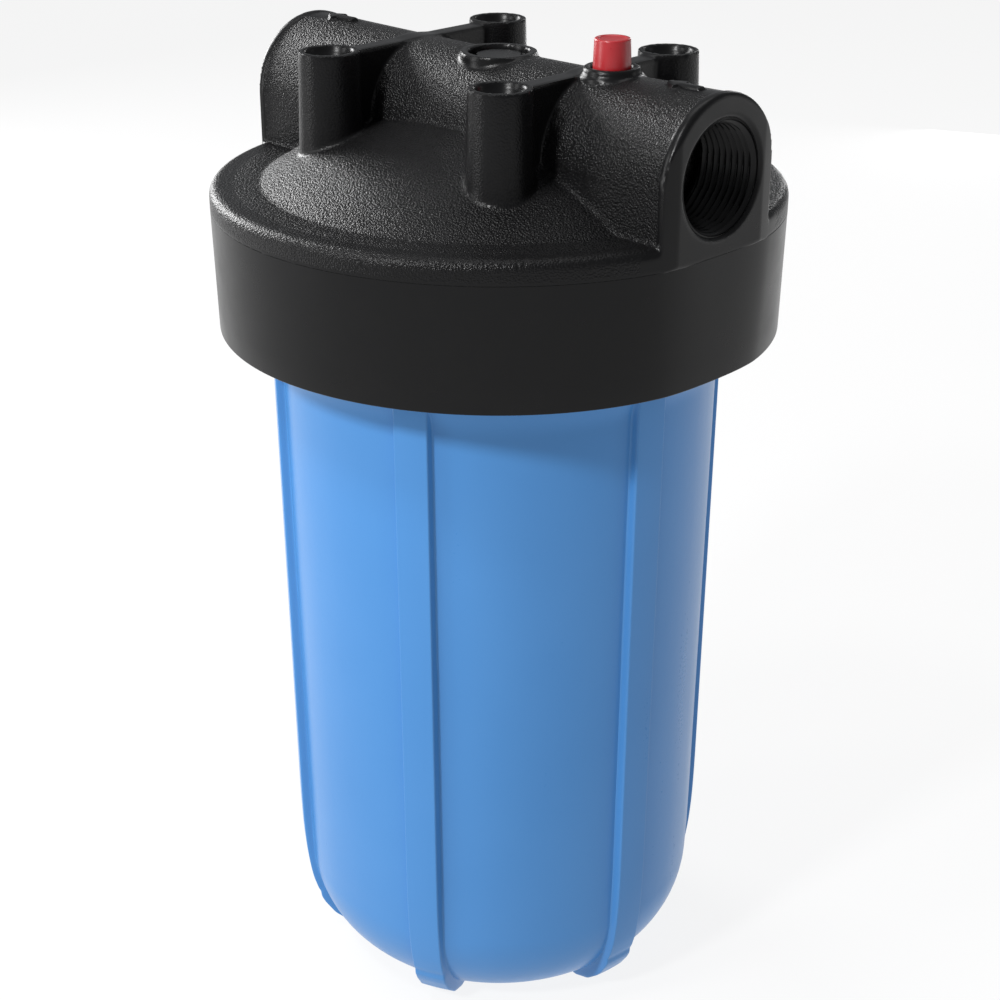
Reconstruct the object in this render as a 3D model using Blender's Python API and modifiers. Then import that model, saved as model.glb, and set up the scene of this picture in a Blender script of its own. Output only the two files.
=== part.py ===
"""Cartridge filter housing, 10 inch large-diameter size.

A ribbed blue sump screws up into a black moulded head.  The head carries two
1 inch pipe ports in one cross tunnel, four mounting bosses joined to the
tunnel by webs, a plain centre boss and a spring-loaded pressure relief button
over the inlet.  Inside are the sump O-ring and a pleated cartridge that is
clamped between the sump floor and the head's outlet post.

Frame: origin on the vertical axis in the plane of the feet, +Z up, the two
ports along X (inlet at +X, outlet at -X).  Metres.
"""
import math

import bmesh
import bpy
from mathutils import Matrix, Vector

MM = 0.001
GAP = 0.3 * MM                      # clearance kept between touching pieces
SEG = 36                            # facets round the large turned shapes

# ---------------------------------------------------------------- sump
SUMP_RIM_Z = 270.6 * MM
SUMP_NECK_R = 78.0 * MM             # root of the male thread
SUMP_NECK_Z = 238.6 * MM            # under-side of the threaded neck
SUMP_BAND_R = 75.0 * MM             # plain band under the collar
SUMP_BAND_Z = 222.0 * MM
PANEL_TOP = (72.0 * MM, 214.0 * MM)
PANEL_LOW = (68.9 * MM, 35.5 * MM)
DOME_R0 = 37.4 * MM                 # where the dome turns into the flat bottom
DOME_H = 35.5 * MM
DOME_CUT = math.radians(66.0)
SUMP_BORE_TOP_R = 67.2 * MM
SUMP_BORE_LOW_R = 64.3 * MM
SUMP_FLOOR_Z = 8.0 * MM
FLOOR_R0 = 40.0 * MM                # where the inner corner leaves the floor
FLOOR_CORNER_H = 20.0 * MM
RIB_COUNT = 6
RIB_PHASE = math.radians(-6.7)
RIB_WIDTH = 11.8 * MM
RIB_TOP_R = 74.9 * MM
RIB_LOW_R = 72.5 * MM
FOOT_R = 50.5 * MM
SEAT_R = 19.2 * MM                  # ring that bites the lower gasket
SEAT_TOP_Z = 11.7 * MM
SPIGOT_R = 12.6 * MM
SPIGOT_TOP_Z = 24.0 * MM

# ---------------------------------------------------------------- thread
LEAD = 8.0 * MM
MALE_CREST_R = 81.0 * MM
FEMALE_ROOT_R = 81.8 * MM
FEMALE_CREST_R = 78.8 * MM
RIDGE_ROOT_W = 4.2 * MM
RIDGE_CREST_W = 2.2 * MM
MALE_START_Z = 243.0 * MM
MALE_TURNS = 2.8
FEMALE_START_Z = 239.0 * MM
FEMALE_TURNS = 3.35
RIDGE_PHASE = 0.37                  # of a facet, so ridge and wall edges never coincide

# ---------------------------------------------------------------- head
COLLAR_BOTTOM_Z = 236.1 * MM
COLLAR_LOW_R = 91.0 * MM
COLLAR_R = 92.0 * MM
COLLAR_EDGE_Z = 275.6 * MM
RIM_TOP_Z = 282.3 * MM
CEILING_Z = 272.0 * MM
PORT_FACE_X = 89.9 * MM
PORT_AXIS_Z = 298.06 * MM
TUNNEL_R = 23.4 * MM
PORT_MOUTH_R = 17.0 * MM
PORT_BORE_R = 16.1 * MM
PORT_DEPTH = 23.0 * MM
PASSAGE_R = 13.5 * MM
POST_R = 22.0 * MM
POST_BORE_R = 10.0 * MM
NOSE_R = 13.1 * MM
NOSE_Z = 250.0 * MM
KNIFE_R = 19.2 * MM
BOSS_XY = (37.2 * MM, 37.5 * MM)
BOSS_TOP_Z = 322.1 * MM
BOSS_TOP_R = 9.53 * MM
BOSS_BASE_R = 10.5 * MM
PILOT_R = 3.1 * MM
PILOT_DEPTH = 25.0 * MM
WEB_THICK = 7.0 * MM
WEB_TOP_Z = 321.3 * MM
CENTRE_BOSS_R = 12.1 * MM
CENTRE_BOSS_Z = 322.4 * MM

# ---------------------------------------------------------------- relief valve
RELIEF_X = 46.7 * MM
RELIEF_COLLAR_R = 8.5 * MM
RELIEF_COLLAR_Z = 324.0 * MM
RELIEF_POCKET_R = 6.15 * MM
RELIEF_POCKET_Z = 315.0 * MM
RELIEF_HOLE_R = 2.4 * MM
RELIEF_SEAT_Z = 311.8 * MM
BUTTON_TOP_Z = 332.3 * MM
BUTTON_R = 5.65 * MM
BUTTON_LOW_Z = 318.2 * MM
STEM_R = 1.5 * MM

# ---------------------------------------------------------------- cartridge
CART_LOW_Z = 12.0 * MM
CART_TOP_Z = 260.0 * MM
CART_R = 57.0 * MM
GASKET_T = 3.0 * MM
CAP_T = 7.0 * MM
CORE_BORE_R = 14.0 * MM
CORE_R = 17.0 * MM
PLEATS = 46
PLEAT_OUT_R = 54.5 * MM
PLEAT_IN_R = 21.0 * MM
BAND_T = 0.9 * MM
BAND_W = 12.0 * MM
O_RING_MAJOR_R = 72.3 * MM
O_RING_MINOR_R = 2.0 * MM


for old in list(bpy.data.objects):
    bpy.data.objects.remove(old, do_unlink=True)

parts = bpy.data.collections.new("cartridge_filter_housing")
cutters = bpy.data.collections.new("construction")
bpy.context.scene.collection.children.link(parts)
bpy.context.scene.collection.children.link(cutters)


# ---------------------------------------------------------------- helpers
def material(name, colour, roughness, metallic=0.0):
    mat = bpy.data.materials.new(name)
    mat.use_nodes = True
    shader = mat.node_tree.nodes["Principled BSDF"]
    shader.inputs["Base Color"].default_value = (*colour, 1.0)
    shader.inputs["Roughness"].default_value = roughness
    shader.inputs["Metallic"].default_value = metallic
    mat.diffuse_color = (*colour, 1.0)
    return mat


def keep(obj, mat=None):
    """Put an object among the parts, or among the construction shapes."""
    for coll in list(obj.users_collection):
        coll.objects.unlink(obj)
    if mat is None:
        cutters.objects.link(obj)
        obj.hide_render = True
        obj.display_type = "WIRE"
    else:
        parts.objects.link(obj)
        obj.data.materials.clear()
        obj.data.materials.append(mat)
    return obj


def smooth(obj, degrees=32.0):
    obj.data.shade_smooth()
    obj.data.set_sharp_from_angle(angle=math.radians(degrees))
    return obj


def turned(name, profile, mat=None, steps=SEG, closed=False, at=(0, 0, 0), rot=(0, 0, 0)):
    """Turn (radius, height) points about Z.  The points run down the outer side."""
    mesh = bpy.data.meshes.new(name)
    verts = [(r, 0.0, z) for r, z in profile]
    edges = [(i, i + 1) for i in range(len(verts) - 1)]
    if closed:
        edges.append((len(verts) - 1, 0))
    mesh.from_pydata(verts, edges, [])
    obj = bpy.data.objects.new(name, mesh)
    screw = obj.modifiers.new("turn", "SCREW")
    screw.axis = "Z"
    screw.angle = 2.0 * math.pi
    screw.steps = steps
    screw.render_steps = steps
    screw.use_merge_vertices = True
    screw.merge_threshold = 0.00001
    screw.use_smooth_shade = True
    obj.location = at
    obj.rotation_euler = rot
    return keep(obj, mat)


def cylinder(name, radius, z0, z1, mat=None, steps=24, at=(0.0, 0.0), radius_top=None, rot=None):
    """A cylinder or cone frustum standing on Z between z0 and z1."""
    mesh = bpy.data.meshes.new(name)
    bm = bmesh.new()
    bmesh.ops.create_cone(bm, cap_ends=True, cap_tris=False, segments=steps,
                          radius1=radius, radius2=radius if radius_top is None else radius_top,
                          depth=z1 - z0)
    bmesh.ops.translate(bm, verts=bm.verts, vec=(0, 0, (z0 + z1) / 2))
    if rot is not None:
        bmesh.ops.rotate(bm, verts=bm.verts, cent=(0, 0, 0), matrix=rot)
    bmesh.ops.translate(bm, verts=bm.verts, vec=(at[0], at[1], 0 if len(at) < 3 else at[2]))
    bm.to_mesh(mesh)
    bm.free()
    obj = bpy.data.objects.new(name, mesh)
    return smooth(keep(obj, mat))


def block(name, low, high, mat=None):
    mesh = bpy.data.meshes.new(name)
    bm = bmesh.new()
    bmesh.ops.create_cube(bm, size=1.0)
    size = [h - l for l, h in zip(low, high)]
    bmesh.ops.scale(bm, verts=bm.verts, vec=size)
    bmesh.ops.translate(bm, verts=bm.verts, vec=[(l + h) / 2 for l, h in zip(low, high)])
    bm.to_mesh(mesh)
    bm.free()
    return keep(bpy.data.objects.new(name, mesh), mat)


def along_x(name, profile, x0, towards=1, steps=32, z=PORT_AXIS_Z):
    """A turned cutter whose axis lies along X, from x0 in the given direction."""
    return turned(name, profile, steps=steps, at=(x0, 0, z),
                  rot=(0, math.radians(90.0 * towards), 0))


def combine(target, other, how):
    mod = target.modifiers.new(how.lower() + "_" + other.name, "BOOLEAN")
    mod.operation = how
    mod.solver = "EXACT"
    mod.object = other
    return mod


def plate(name, outline, thickness, centre_angle=0.0):
    """A flat outline in the (radius, height) plane, extruded across the radius."""
    curve = bpy.data.curves.new(name, "CURVE")
    curve.dimensions = "2D"
    curve.fill_mode = "BOTH"
    curve.extrude = thickness / 2
    spline = curve.splines.new("POLY")
    spline.points.add(len(outline) - 1)
    for point, (r, z) in zip(spline.points, outline):
        point.co = (r, z, 0.0, 1.0)
    spline.use_cyclic_u = True
    guide = bpy.data.objects.new(name + "_outline", curve)
    cutters.objects.link(guide)
    guide.rotation_euler = (math.radians(90.0), 0.0, 0.0)
    bpy.context.view_layer.update()
    graph = bpy.context.evaluated_depsgraph_get()
    mesh = bpy.data.meshes.new_from_object(guide.evaluated_get(graph))
    turn = Matrix.Rotation(centre_angle, 4, "Z") @ guide.matrix_world
    bpy.data.objects.remove(guide, do_unlink=True)
    bpy.data.curves.remove(curve)
    bm = bmesh.new()
    bm.from_mesh(mesh)
    bmesh.ops.remove_doubles(bm, verts=bm.verts, dist=0.00001)
    bmesh.ops.transform(bm, matrix=turn, verts=bm.verts)
    bmesh.ops.recalc_face_normals(bm, faces=bm.faces)
    bm.to_mesh(mesh)
    bm.free()
    mesh.name = name
    return keep(bpy.data.objects.new(name, mesh))


def ridge(name, base_r, crest_r, start_z, turns, sink):
    """A helical thread ridge, right-hand, faded at both ends.

    The base edge is sunk into the wall that carries it, by `sink` along the
    radius, so that the union has no faces that only touch.
    """
    steps = int(round(turns * SEG))
    fade = SEG // 8
    rings = []
    for i in range(steps + 1):
        turn = 2.0 * math.pi * (i + RIDGE_PHASE) / SEG
        z = start_z + LEAD * (i + RIDGE_PHASE) / SEG
        grow = min(1.0, 0.12 + min(i, steps - i) / fade)
        foot = base_r + sink
        top = base_r + (crest_r - base_r) * grow
        wide = RIDGE_ROOT_W / 2
        narrow = RIDGE_CREST_W / 2
        ring = [(foot, z - wide), (top, z - narrow), (top, z + narrow), (foot, z + wide)]
        rings.append([(r * math.cos(turn), r * math.sin(turn), h) for r, h in ring])
    bm = bmesh.new()
    rows = [[bm.verts.new(co) for co in ring] for ring in rings]
    for a, b in zip(rows, rows[1:]):
        for j in range(4):
            bm.faces.new((a[j], a[(j + 1) % 4], b[(j + 1) % 4], b[j]))
    bm.faces.new(rows[0])
    bm.faces.new(rows[-1])
    bmesh.ops.recalc_face_normals(bm, faces=bm.faces)
    mesh = bpy.data.meshes.new(name)
    bm.to_mesh(mesh)
    bm.free()
    return smooth(keep(bpy.data.objects.new(name, mesh)))


def arc(centre, radii, start, end, count):
    """Points on an ellipse in the (radius, height) plane, angles in degrees."""
    out = []
    for i in range(count + 1):
        k = math.radians(start + (end - start) * i / count)
        out.append((centre[0] + radii[0] * math.cos(k), centre[1] + radii[1] * math.sin(k)))
    return out


def ring_profile(r_in, r_out, z0, z1, chamfer=0.0):
    """Closed rectangle for a turned ring, with optional outer chamfers."""
    c = chamfer
    if c:
        return [(r_in, z1), (r_out - c, z1), (r_out, z1 - c), (r_out, z0 + c), (r_out - c, z0), (r_in, z0)]
    return [(r_in, z1), (r_out, z1), (r_out, z0), (r_in, z0)]


# ---------------------------------------------------------------- materials
BLUE = material("sump_blue_polypropylene", (0.09, 0.26, 0.58), 0.36)
BLACK = material("head_black_polypropylene", (0.012, 0.012, 0.013), 0.5)
RED = material("button_red_plastic", (0.62, 0.03, 0.04), 0.34)
RUBBER = material("seal_black_rubber", (0.02, 0.02, 0.02), 0.6)
STEEL = material("stainless_steel", (0.62, 0.62, 0.6), 0.3, 1.0)
MEDIA = material("pleated_white_polyester", (0.82, 0.82, 0.78), 0.9)
CAP = material("cartridge_end_cap", (0.75, 0.77, 0.8), 0.55)
CORE = material("cartridge_core_plastic", (0.8, 0.8, 0.78), 0.5)


# ---------------------------------------------------------------- sump
def sump():
    inside = [(0.0, SPIGOT_TOP_Z), (SPIGOT_R - 1.5 * MM, SPIGOT_TOP_Z), (SPIGOT_R, SPIGOT_TOP_Z - 3 * MM),
              (SPIGOT_R, SUMP_FLOOR_Z), (SEAT_R - 1.6 * MM, SUMP_FLOOR_Z),
              (SEAT_R - 0.5 * MM, SEAT_TOP_Z), (SEAT_R + 0.5 * MM, SEAT_TOP_Z), (SEAT_R + 1.6 * MM, SUMP_FLOOR_Z)]
    inside += arc((FLOOR_R0, SUMP_FLOOR_Z + FLOOR_CORNER_H),
                  (SUMP_BORE_LOW_R - FLOOR_R0, FLOOR_CORNER_H), -90, 0, 5)
    groove_in, groove_out = O_RING_MAJOR_R - 2.4 * MM, O_RING_MAJOR_R + 2.4 * MM
    groove_z = 267.4 * MM
    rim = [(SUMP_BORE_TOP_R, SUMP_RIM_Z - 1 * MM), (SUMP_BORE_TOP_R + 0.8 * MM, SUMP_RIM_Z),
           (groove_in, SUMP_RIM_Z), (groove_in, groove_z), (groove_out, groove_z),
           (groove_out, SUMP_RIM_Z), (SUMP_NECK_R - 1 * MM, SUMP_RIM_Z), (SUMP_NECK_R, SUMP_RIM_Z - 1 * MM)]
    neck = [(SUMP_NECK_R, SUMP_NECK_Z), (SUMP_BAND_R, SUMP_NECK_Z - 1.6 * MM), (SUMP_BAND_R, SUMP_BAND_Z),
            (SUMP_BAND_R - 0.9 * MM, SUMP_BAND_Z - 4.2 * MM), PANEL_TOP]
    cut = math.degrees(DOME_CUT)
    dome = arc((DOME_R0, DOME_H), (PANEL_LOW[0] - DOME_R0, DOME_H), 0, -cut, 5)
    dome.append((0.0, dome[-1][1]))
    body = turned("sump", inside + rim + neck + dome, BLUE)

    # Ribs: one flat plate each, following the body and ending in a foot pad.
    low_r = RIB_LOW_R - 1.35 * MM
    outline = [(RIB_TOP_R + 0.05 * MM, SUMP_BAND_Z + 6 * MM), (RIB_LOW_R, 50 * MM)]
    outline += arc((DOME_R0, DOME_H), (low_r - DOME_R0, DOME_H), 0, -31, 3)
    outline += [(67.6 * MM, 15.4 * MM), (66.2 * MM, 12.2 * MM), (62.6 * MM, 6.8 * MM),
                (57.5 * MM, 2.4 * MM), (FOOT_R + 2.5 * MM, 0.4 * MM), (FOOT_R, 0.0), (43.0 * MM, 0.0),
                (43.0 * MM, 5.2 * MM), (52.0 * MM, 7.2 * MM), (59.5 * MM, 13.0 * MM), (64.8 * MM, 21.5 * MM),
                (66.6 * MM, 34.0 * MM), (70.2 * MM, SUMP_BAND_Z + 6 * MM)]
    for i in range(RIB_COUNT):
        rib = plate("rib_shape_%d" % (i + 1), outline, RIB_WIDTH, RIB_PHASE + i * 2 * math.pi / RIB_COUNT)
        combine(body, rib, "UNION")
    thread = ridge("male_thread_shape", SUMP_NECK_R, MALE_CREST_R, MALE_START_Z, MALE_TURNS, -0.7 * MM)
    combine(body, thread, "UNION")
    return body


# ---------------------------------------------------------------- head
def head():
    outer = [(0.0, 303.5 * MM), (26 * MM, 301.0 * MM), (45 * MM, 295.8 * MM), (63 * MM, 289.2 * MM),
             (72 * MM, 284.6 * MM), (77.5 * MM, RIM_TOP_Z), (83.5 * MM, RIM_TOP_Z)]
    outer += arc((84.0 * MM, COLLAR_EDGE_Z - 1.2 * MM), (8.0 * MM, 7.8 * MM), 66, 8, 3)
    outer += [(COLLAR_LOW_R, COLLAR_BOTTOM_Z + 1 * MM), (COLLAR_LOW_R - 1 * MM, COLLAR_BOTTOM_Z)]
    skirt = [(FEMALE_ROOT_R + 1.4 * MM, COLLAR_BOTTOM_Z), (FEMALE_ROOT_R, COLLAR_BOTTOM_Z + 1.4 * MM),
             (FEMALE_ROOT_R, CEILING_Z), (66.0 * MM, CEILING_Z), (63.0 * MM, 278.5 * MM),
             (45.0 * MM, 288.0 * MM), (26.0 * MM, 293.0 * MM), (0.0, 295.0 * MM)]
    body = turned("head", outer + skirt, BLACK)

    # Cross tunnel with straight lower sides, and the outlet pipe wall beneath it.
    x = PORT_FACE_X
    tunnel = cylinder("tunnel_shape", TUNNEL_R, -x - 1 * MM, x + 1 * MM, steps=32,
                      at=(0, 0, PORT_AXIS_Z),
                      rot=Matrix.Rotation(math.radians(180 / 32), 3, "X") @ Matrix.Rotation(math.radians(90), 3, "Y"))
    combine(body, tunnel, "UNION")
    for side, tag in ((1, "inlet"), (-1, "outlet")):
        lo, hi = sorted((side * 66.5 * MM, side * (x + 1 * MM)))
        cheek = block(tag + "_block_shape", (lo, -TUNNEL_R + 0.3 * MM, 273.0 * MM), (hi, TUNNEL_R - 0.3 * MM, PORT_AXIS_Z))
        combine(body, cheek, "UNION")
        lo, hi = sorted((side * 18 * MM, side * 67.5 * MM))
        saddle = block(tag + "_saddle_shape", (lo, -TUNNEL_R + 0.34 * MM, 285.0 * MM), (hi, TUNNEL_R - 0.34 * MM, PORT_AXIS_Z - 0.2 * MM))
        combine(body, saddle, "UNION")
    # Hollow the tunnel out again below the dome, then add the outlet pipe that crosses the chamber.
    hollow = turned("chamber_cut", [(0.0, 294.6 * MM), (26.0 * MM, 292.6 * MM), (45.0 * MM, 287.6 * MM),
                                    (62.7 * MM, 278.3 * MM), (65.6 * MM, CEILING_Z - 0.4 * MM), (65.6 * MM, 250 * MM),
                                    (0.0, 250 * MM)])
    combine(body, hollow, "DIFFERENCE")
    pipe = cylinder("outlet_pipe_shape", 17.6 * MM, -70 * MM, 2 * MM, steps=32, at=(0, 0, PORT_AXIS_Z),
                    rot=Matrix.Rotation(math.radians(90), 3, "Y"))
    combine(body, pipe, "UNION")
    post = turned("post_shape", [(0.0, 300 * MM), (POST_R, 299 * MM), (POST_R, 263.4 * MM),
                                 (KNIFE_R + 0.5 * MM, CART_TOP_Z + GAP), (KNIFE_R - 0.5 * MM, CART_TOP_Z + GAP),
                                 (KNIFE_R - 2 * MM, 263.0 * MM), (NOSE_R, 263.0 * MM), (NOSE_R, NOSE_Z + 2 * MM),
                                 (NOSE_R - 1.5 * MM, NOSE_Z), (0.0, NOSE_Z)], steps=24)
    combine(body, post, "UNION")

    # Mounting bosses and the webs that tie them to the tunnel.
    for sx in (1, -1):
        for sy in (1, -1):
            tag = ("e" if sx > 0 else "w") + ("n" if sy > 0 else "s")
            cx, cy = sx * BOSS_XY[0], sy * BOSS_XY[1]
            boss = cylinder("boss_shape_" + tag, BOSS_BASE_R, 290.5 * MM, BOSS_TOP_Z, steps=24,
                            at=(cx, cy), radius_top=BOSS_TOP_R)
            combine(body, boss, "UNION")
            lo, hi = sorted((sy * 4 * MM, cy))
            web = block("web_shape_" + tag, (cx - WEB_THICK / 2, lo, 296 * MM), (cx + WEB_THICK / 2, hi, WEB_TOP_Z))
            combine(body, web, "UNION")
    centre = turned("centre_boss_shape", [(0.0, CENTRE_BOSS_Z - 1.4 * MM), (6.4 * MM, CENTRE_BOSS_Z - 1.4 * MM),
                                          (7.0 * MM, CENTRE_BOSS_Z - 2.3 * MM), (9.2 * MM, CENTRE_BOSS_Z - 2.3 * MM),
                                          (9.9 * MM, CENTRE_BOSS_Z), (CENTRE_BOSS_R, CENTRE_BOSS_Z - 0.3 * MM),
                                          (CENTRE_BOSS_R + 0.5 * MM, 312 * MM), (0.0, 312 * MM)], steps=24)
    combine(body, centre, "UNION")
    guide = cylinder("relief_collar_shape", RELIEF_COLLAR_R + 0.9 * MM, 314 * MM, RELIEF_COLLAR_Z, steps=24,
                     at=(RELIEF_X, 0), radius_top=RELIEF_COLLAR_R)
    combine(body, guide, "UNION")
    # Plain raised arrows on the port blocks show the flow direction, inlet to outlet.
    for sx, tag in ((1, "inlet"), (-1, "outlet")):
        tip = sx * 74.0 * MM - 5 * MM
        outline = [(tip, 0.0), (tip + 5 * MM, 3.6 * MM), (tip + 5 * MM, 1.4 * MM), (tip + 11 * MM, 1.4 * MM),
                   (tip + 11 * MM, -1.4 * MM), (tip + 5 * MM, -1.4 * MM), (tip + 5 * MM, -3.6 * MM)]
        combine(body, arrow_shape(tag + "_arrow_shape", outline, 318 * MM, 322.5 * MM), "UNION")

    # Female thread, then every cut.
    combine(body, ridge("female_thread_shape", FEMALE_ROOT_R, FEMALE_CREST_R, FEMALE_START_Z, FEMALE_TURNS, 0.7 * MM), "UNION")
    for side, tag in ((1, "inlet"), (-1, "outlet")):
        lo, hi = sorted((side * x, side * (x + 12 * MM)))
        trim = block(tag + "_face_cut", (lo, -60 * MM, 225 * MM), (hi, 60 * MM, 335 * MM))
        combine(body, trim, "DIFFERENCE")
        reach = (x - 24 * MM) if side > 0 else x
        bore = [(0.0, 1 * MM), (PORT_MOUTH_R + 1.0 * MM, 1 * MM), (PORT_MOUTH_R, -0.02 * MM), (PORT_BORE_R, -1.6 * MM),
                (PORT_BORE_R - 0.7 * MM, -PORT_DEPTH), (PASSAGE_R, -PORT_DEPTH - 1 * MM), (PASSAGE_R, -reach), (0.0, -reach)]
        combine(body, along_x(tag + "_port_cut", bore, side * x, side), "DIFFERENCE")
    combine(body, cylinder("post_bore_cut", POST_BORE_R, 240 * MM, PORT_AXIS_Z, steps=24), "DIFFERENCE")
    combine(body, block("inlet_window_cut", (28 * MM, -10.5 * MM, 262 * MM), (52 * MM, 10.5 * MM, 294 * MM)), "DIFFERENCE")
    for sx in (1, -1):
        for sy in (1, -1):
            tag = ("e" if sx > 0 else "w") + ("n" if sy > 0 else "s")
            pilot = turned("pilot_cut_" + tag, [(0.0, BOSS_TOP_Z + 1 * MM), (6.9 * MM, BOSS_TOP_Z + 1 * MM),
                                                (6.4 * MM, BOSS_TOP_Z - 0.6 * MM), (PILOT_R, BOSS_TOP_Z - 4.0 * MM),
                                                (PILOT_R, BOSS_TOP_Z - PILOT_DEPTH), (0.0, BOSS_TOP_Z - PILOT_DEPTH)],
                           steps=16, at=(sx * BOSS_XY[0], sy * BOSS_XY[1], 0))
            combine(body, pilot, "DIFFERENCE")
    valve = turned("relief_bore_cut", [(0.0, 340 * MM), (RELIEF_POCKET_R, 340 * MM), (RELIEF_POCKET_R, RELIEF_POCKET_Z),
                                       (RELIEF_HOLE_R, RELIEF_POCKET_Z), (RELIEF_HOLE_R, RELIEF_SEAT_Z),
                                       (4.9 * MM, RELIEF_SEAT_Z), (4.9 * MM, 304 * MM), (0.0, 304 * MM)],
                   steps=24, at=(RELIEF_X, 0, 0))
    combine(body, valve, "DIFFERENCE")
    return body


def arrow_shape(name, outline, z0, z1):
    """A flat outline in the XY plane, as an upright block between z0 and z1."""
    curve = bpy.data.curves.new(name, "CURVE")
    curve.dimensions = "2D"
    curve.fill_mode = "BOTH"
    curve.extrude = (z1 - z0) / 2
    spline = curve.splines.new("POLY")
    spline.points.add(len(outline) - 1)
    for point, (px, py) in zip(spline.points, outline):
        point.co = (px, py, 0.0, 1.0)
    spline.use_cyclic_u = True
    guide = bpy.data.objects.new(name + "_outline", curve)
    cutters.objects.link(guide)
    guide.location = (0, 0, (z0 + z1) / 2)
    bpy.context.view_layer.update()
    graph = bpy.context.evaluated_depsgraph_get()
    mesh = bpy.data.meshes.new_from_object(guide.evaluated_get(graph))
    place = guide.matrix_world.copy()
    bpy.data.objects.remove(guide, do_unlink=True)
    bpy.data.curves.remove(curve)
    bm = bmesh.new()
    bm.from_mesh(mesh)
    bmesh.ops.remove_doubles(bm, verts=bm.verts, dist=0.00001)
    bmesh.ops.recalc_face_normals(bm, faces=bm.faces)
    bm.to_mesh(mesh)
    bm.free()
    mesh.name = name
    obj = keep(bpy.data.objects.new(name, mesh))
    obj.matrix_world = place
    return obj


# ---------------------------------------------------------------- cartridge
def cartridge():
    z0, z1 = CART_LOW_Z, CART_TOP_Z
    gasket_in, gasket_out = 14.6 * MM, 25.0 * MM
    turned("cartridge_bottom_gasket", ring_profile(gasket_in, gasket_out, z0, z0 + GASKET_T), RUBBER, 32, True)
    turned("cartridge_top_gasket", ring_profile(gasket_in, gasket_out, z1 - GASKET_T, z1), RUBBER, 32, True)

    def cap(name, face_z, up):
        """A dished end cap: a disc with an outer skirt that holds the pleats."""
        s = 1 if up else -1
        t = CAP_T
        pts = [(CORE_BORE_R + 0.4 * MM, 0), (CART_R - 1.2 * MM, 0), (CART_R, -1.2 * MM), (CART_R, -t - 5 * MM),
               (CART_R - 1.8 * MM, -t - 5 * MM), (CART_R - 2.0 * MM, -t), (CORE_BORE_R + 0.4 * MM, -t)]
        pts = [(r, face_z + s * h) for r, h in pts]
        if not up:
            pts.reverse()
        return turned(name, pts, CAP, SEG, True)

    cap("cartridge_top_cap", z1 - GASKET_T - GAP, True)
    cap("cartridge_bottom_cap", z0 + GASKET_T + GAP, False)
    low = z0 + GASKET_T + CAP_T + 2 * GAP
    high = z1 - GASKET_T - CAP_T - 2 * GAP

    # Perforated core: a tube with rows of flow windows.
    core = turned("cartridge_core", ring_profile(CORE_BORE_R, CORE_R, low, high), CORE, 24, True)
    rows = 7
    bm = bmesh.new()
    pitch = (high - low) / rows
    for row in range(rows):
        z = low + (row + 0.5) * pitch
        for turn in (0.0, math.pi / 2):
            made = bmesh.ops.create_cube(bm, size=1.0)
            spin = turn + (math.pi / 4 if row % 2 else 0.0)
            place = (Matrix.Translation((0, 0, z)) @ Matrix.Rotation(spin, 4, "Z")
                     @ Matrix.Diagonal((44 * MM, 7 * MM, pitch * 0.42, 1.0)))
            if turn:
                # the second bar of a crossed pair stays a little shorter in height
                place = place @ Matrix.Diagonal((1, 1, 0.98, 1))
            bmesh.ops.transform(bm, matrix=place, verts=made["verts"])
    mesh = bpy.data.meshes.new("core_windows")
    bm.to_mesh(mesh)
    bm.free()
    windows = keep(bpy.data.objects.new("core_windows", mesh))
    combine(core, windows, "DIFFERENCE").use_self = True

    # Pleated media: a zigzag ring between the caps.
    mesh = bpy.data.meshes.new("cartridge_pleats")
    bm = bmesh.new()
    outer, inner = [], []
    wall = 0.75 * MM
    for i in range(2 * PLEATS):
        a = math.pi * i / PLEATS
        peak = i % 2 == 0
        ro = PLEAT_OUT_R if peak else PLEAT_IN_R + 2.2 * MM + wall
        ri = PLEAT_OUT_R - 6.5 * MM if peak else PLEAT_IN_R
        outer.append(bm.verts.new((ro * math.cos(a), ro * math.sin(a), low)))
        inner.append(bm.verts.new((ri * math.cos(a), ri * math.sin(a), low)))
    count = len(outer)
    floor = [bm.faces.new((outer[i], inner[i], inner[(i + 1) % count], outer[(i + 1) % count])) for i in range(count)]
    made = bmesh.ops.extrude_face_region(bm, geom=floor)
    moved = [g for g in made["geom"] if isinstance(g, bmesh.types.BMVert)]
    bmesh.ops.translate(bm, verts=moved, vec=(0, 0, high - low))
    bmesh.ops.recalc_face_normals(bm, faces=bm.faces)
    bm.to_mesh(mesh)
    bm.free()
    keep(bpy.data.objects.new("cartridge_pleats", mesh), MEDIA)

    # Two straps round the pleats keep them evenly spread.
    for name, z in (("cartridge_band_lower", low + (high - low) / 3), ("cartridge_band_upper", low + (high - low) * 2 / 3)):
        turned(name, ring_profile(PLEAT_OUT_R + GAP, PLEAT_OUT_R + GAP + BAND_T, z - BAND_W / 2, z + BAND_W / 2),
               CAP, SEG, True)


# ---------------------------------------------------------------- seals and relief valve
def sump_o_ring():
    circle = [(O_RING_MAJOR_R + O_RING_MINOR_R * math.cos(a), 269.7 * MM + O_RING_MINOR_R * math.sin(a))
              for a in [math.radians(90 - 60 * i) for i in range(6)]]
    turned("sump_o_ring", circle, RUBBER, SEG, True)


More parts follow.
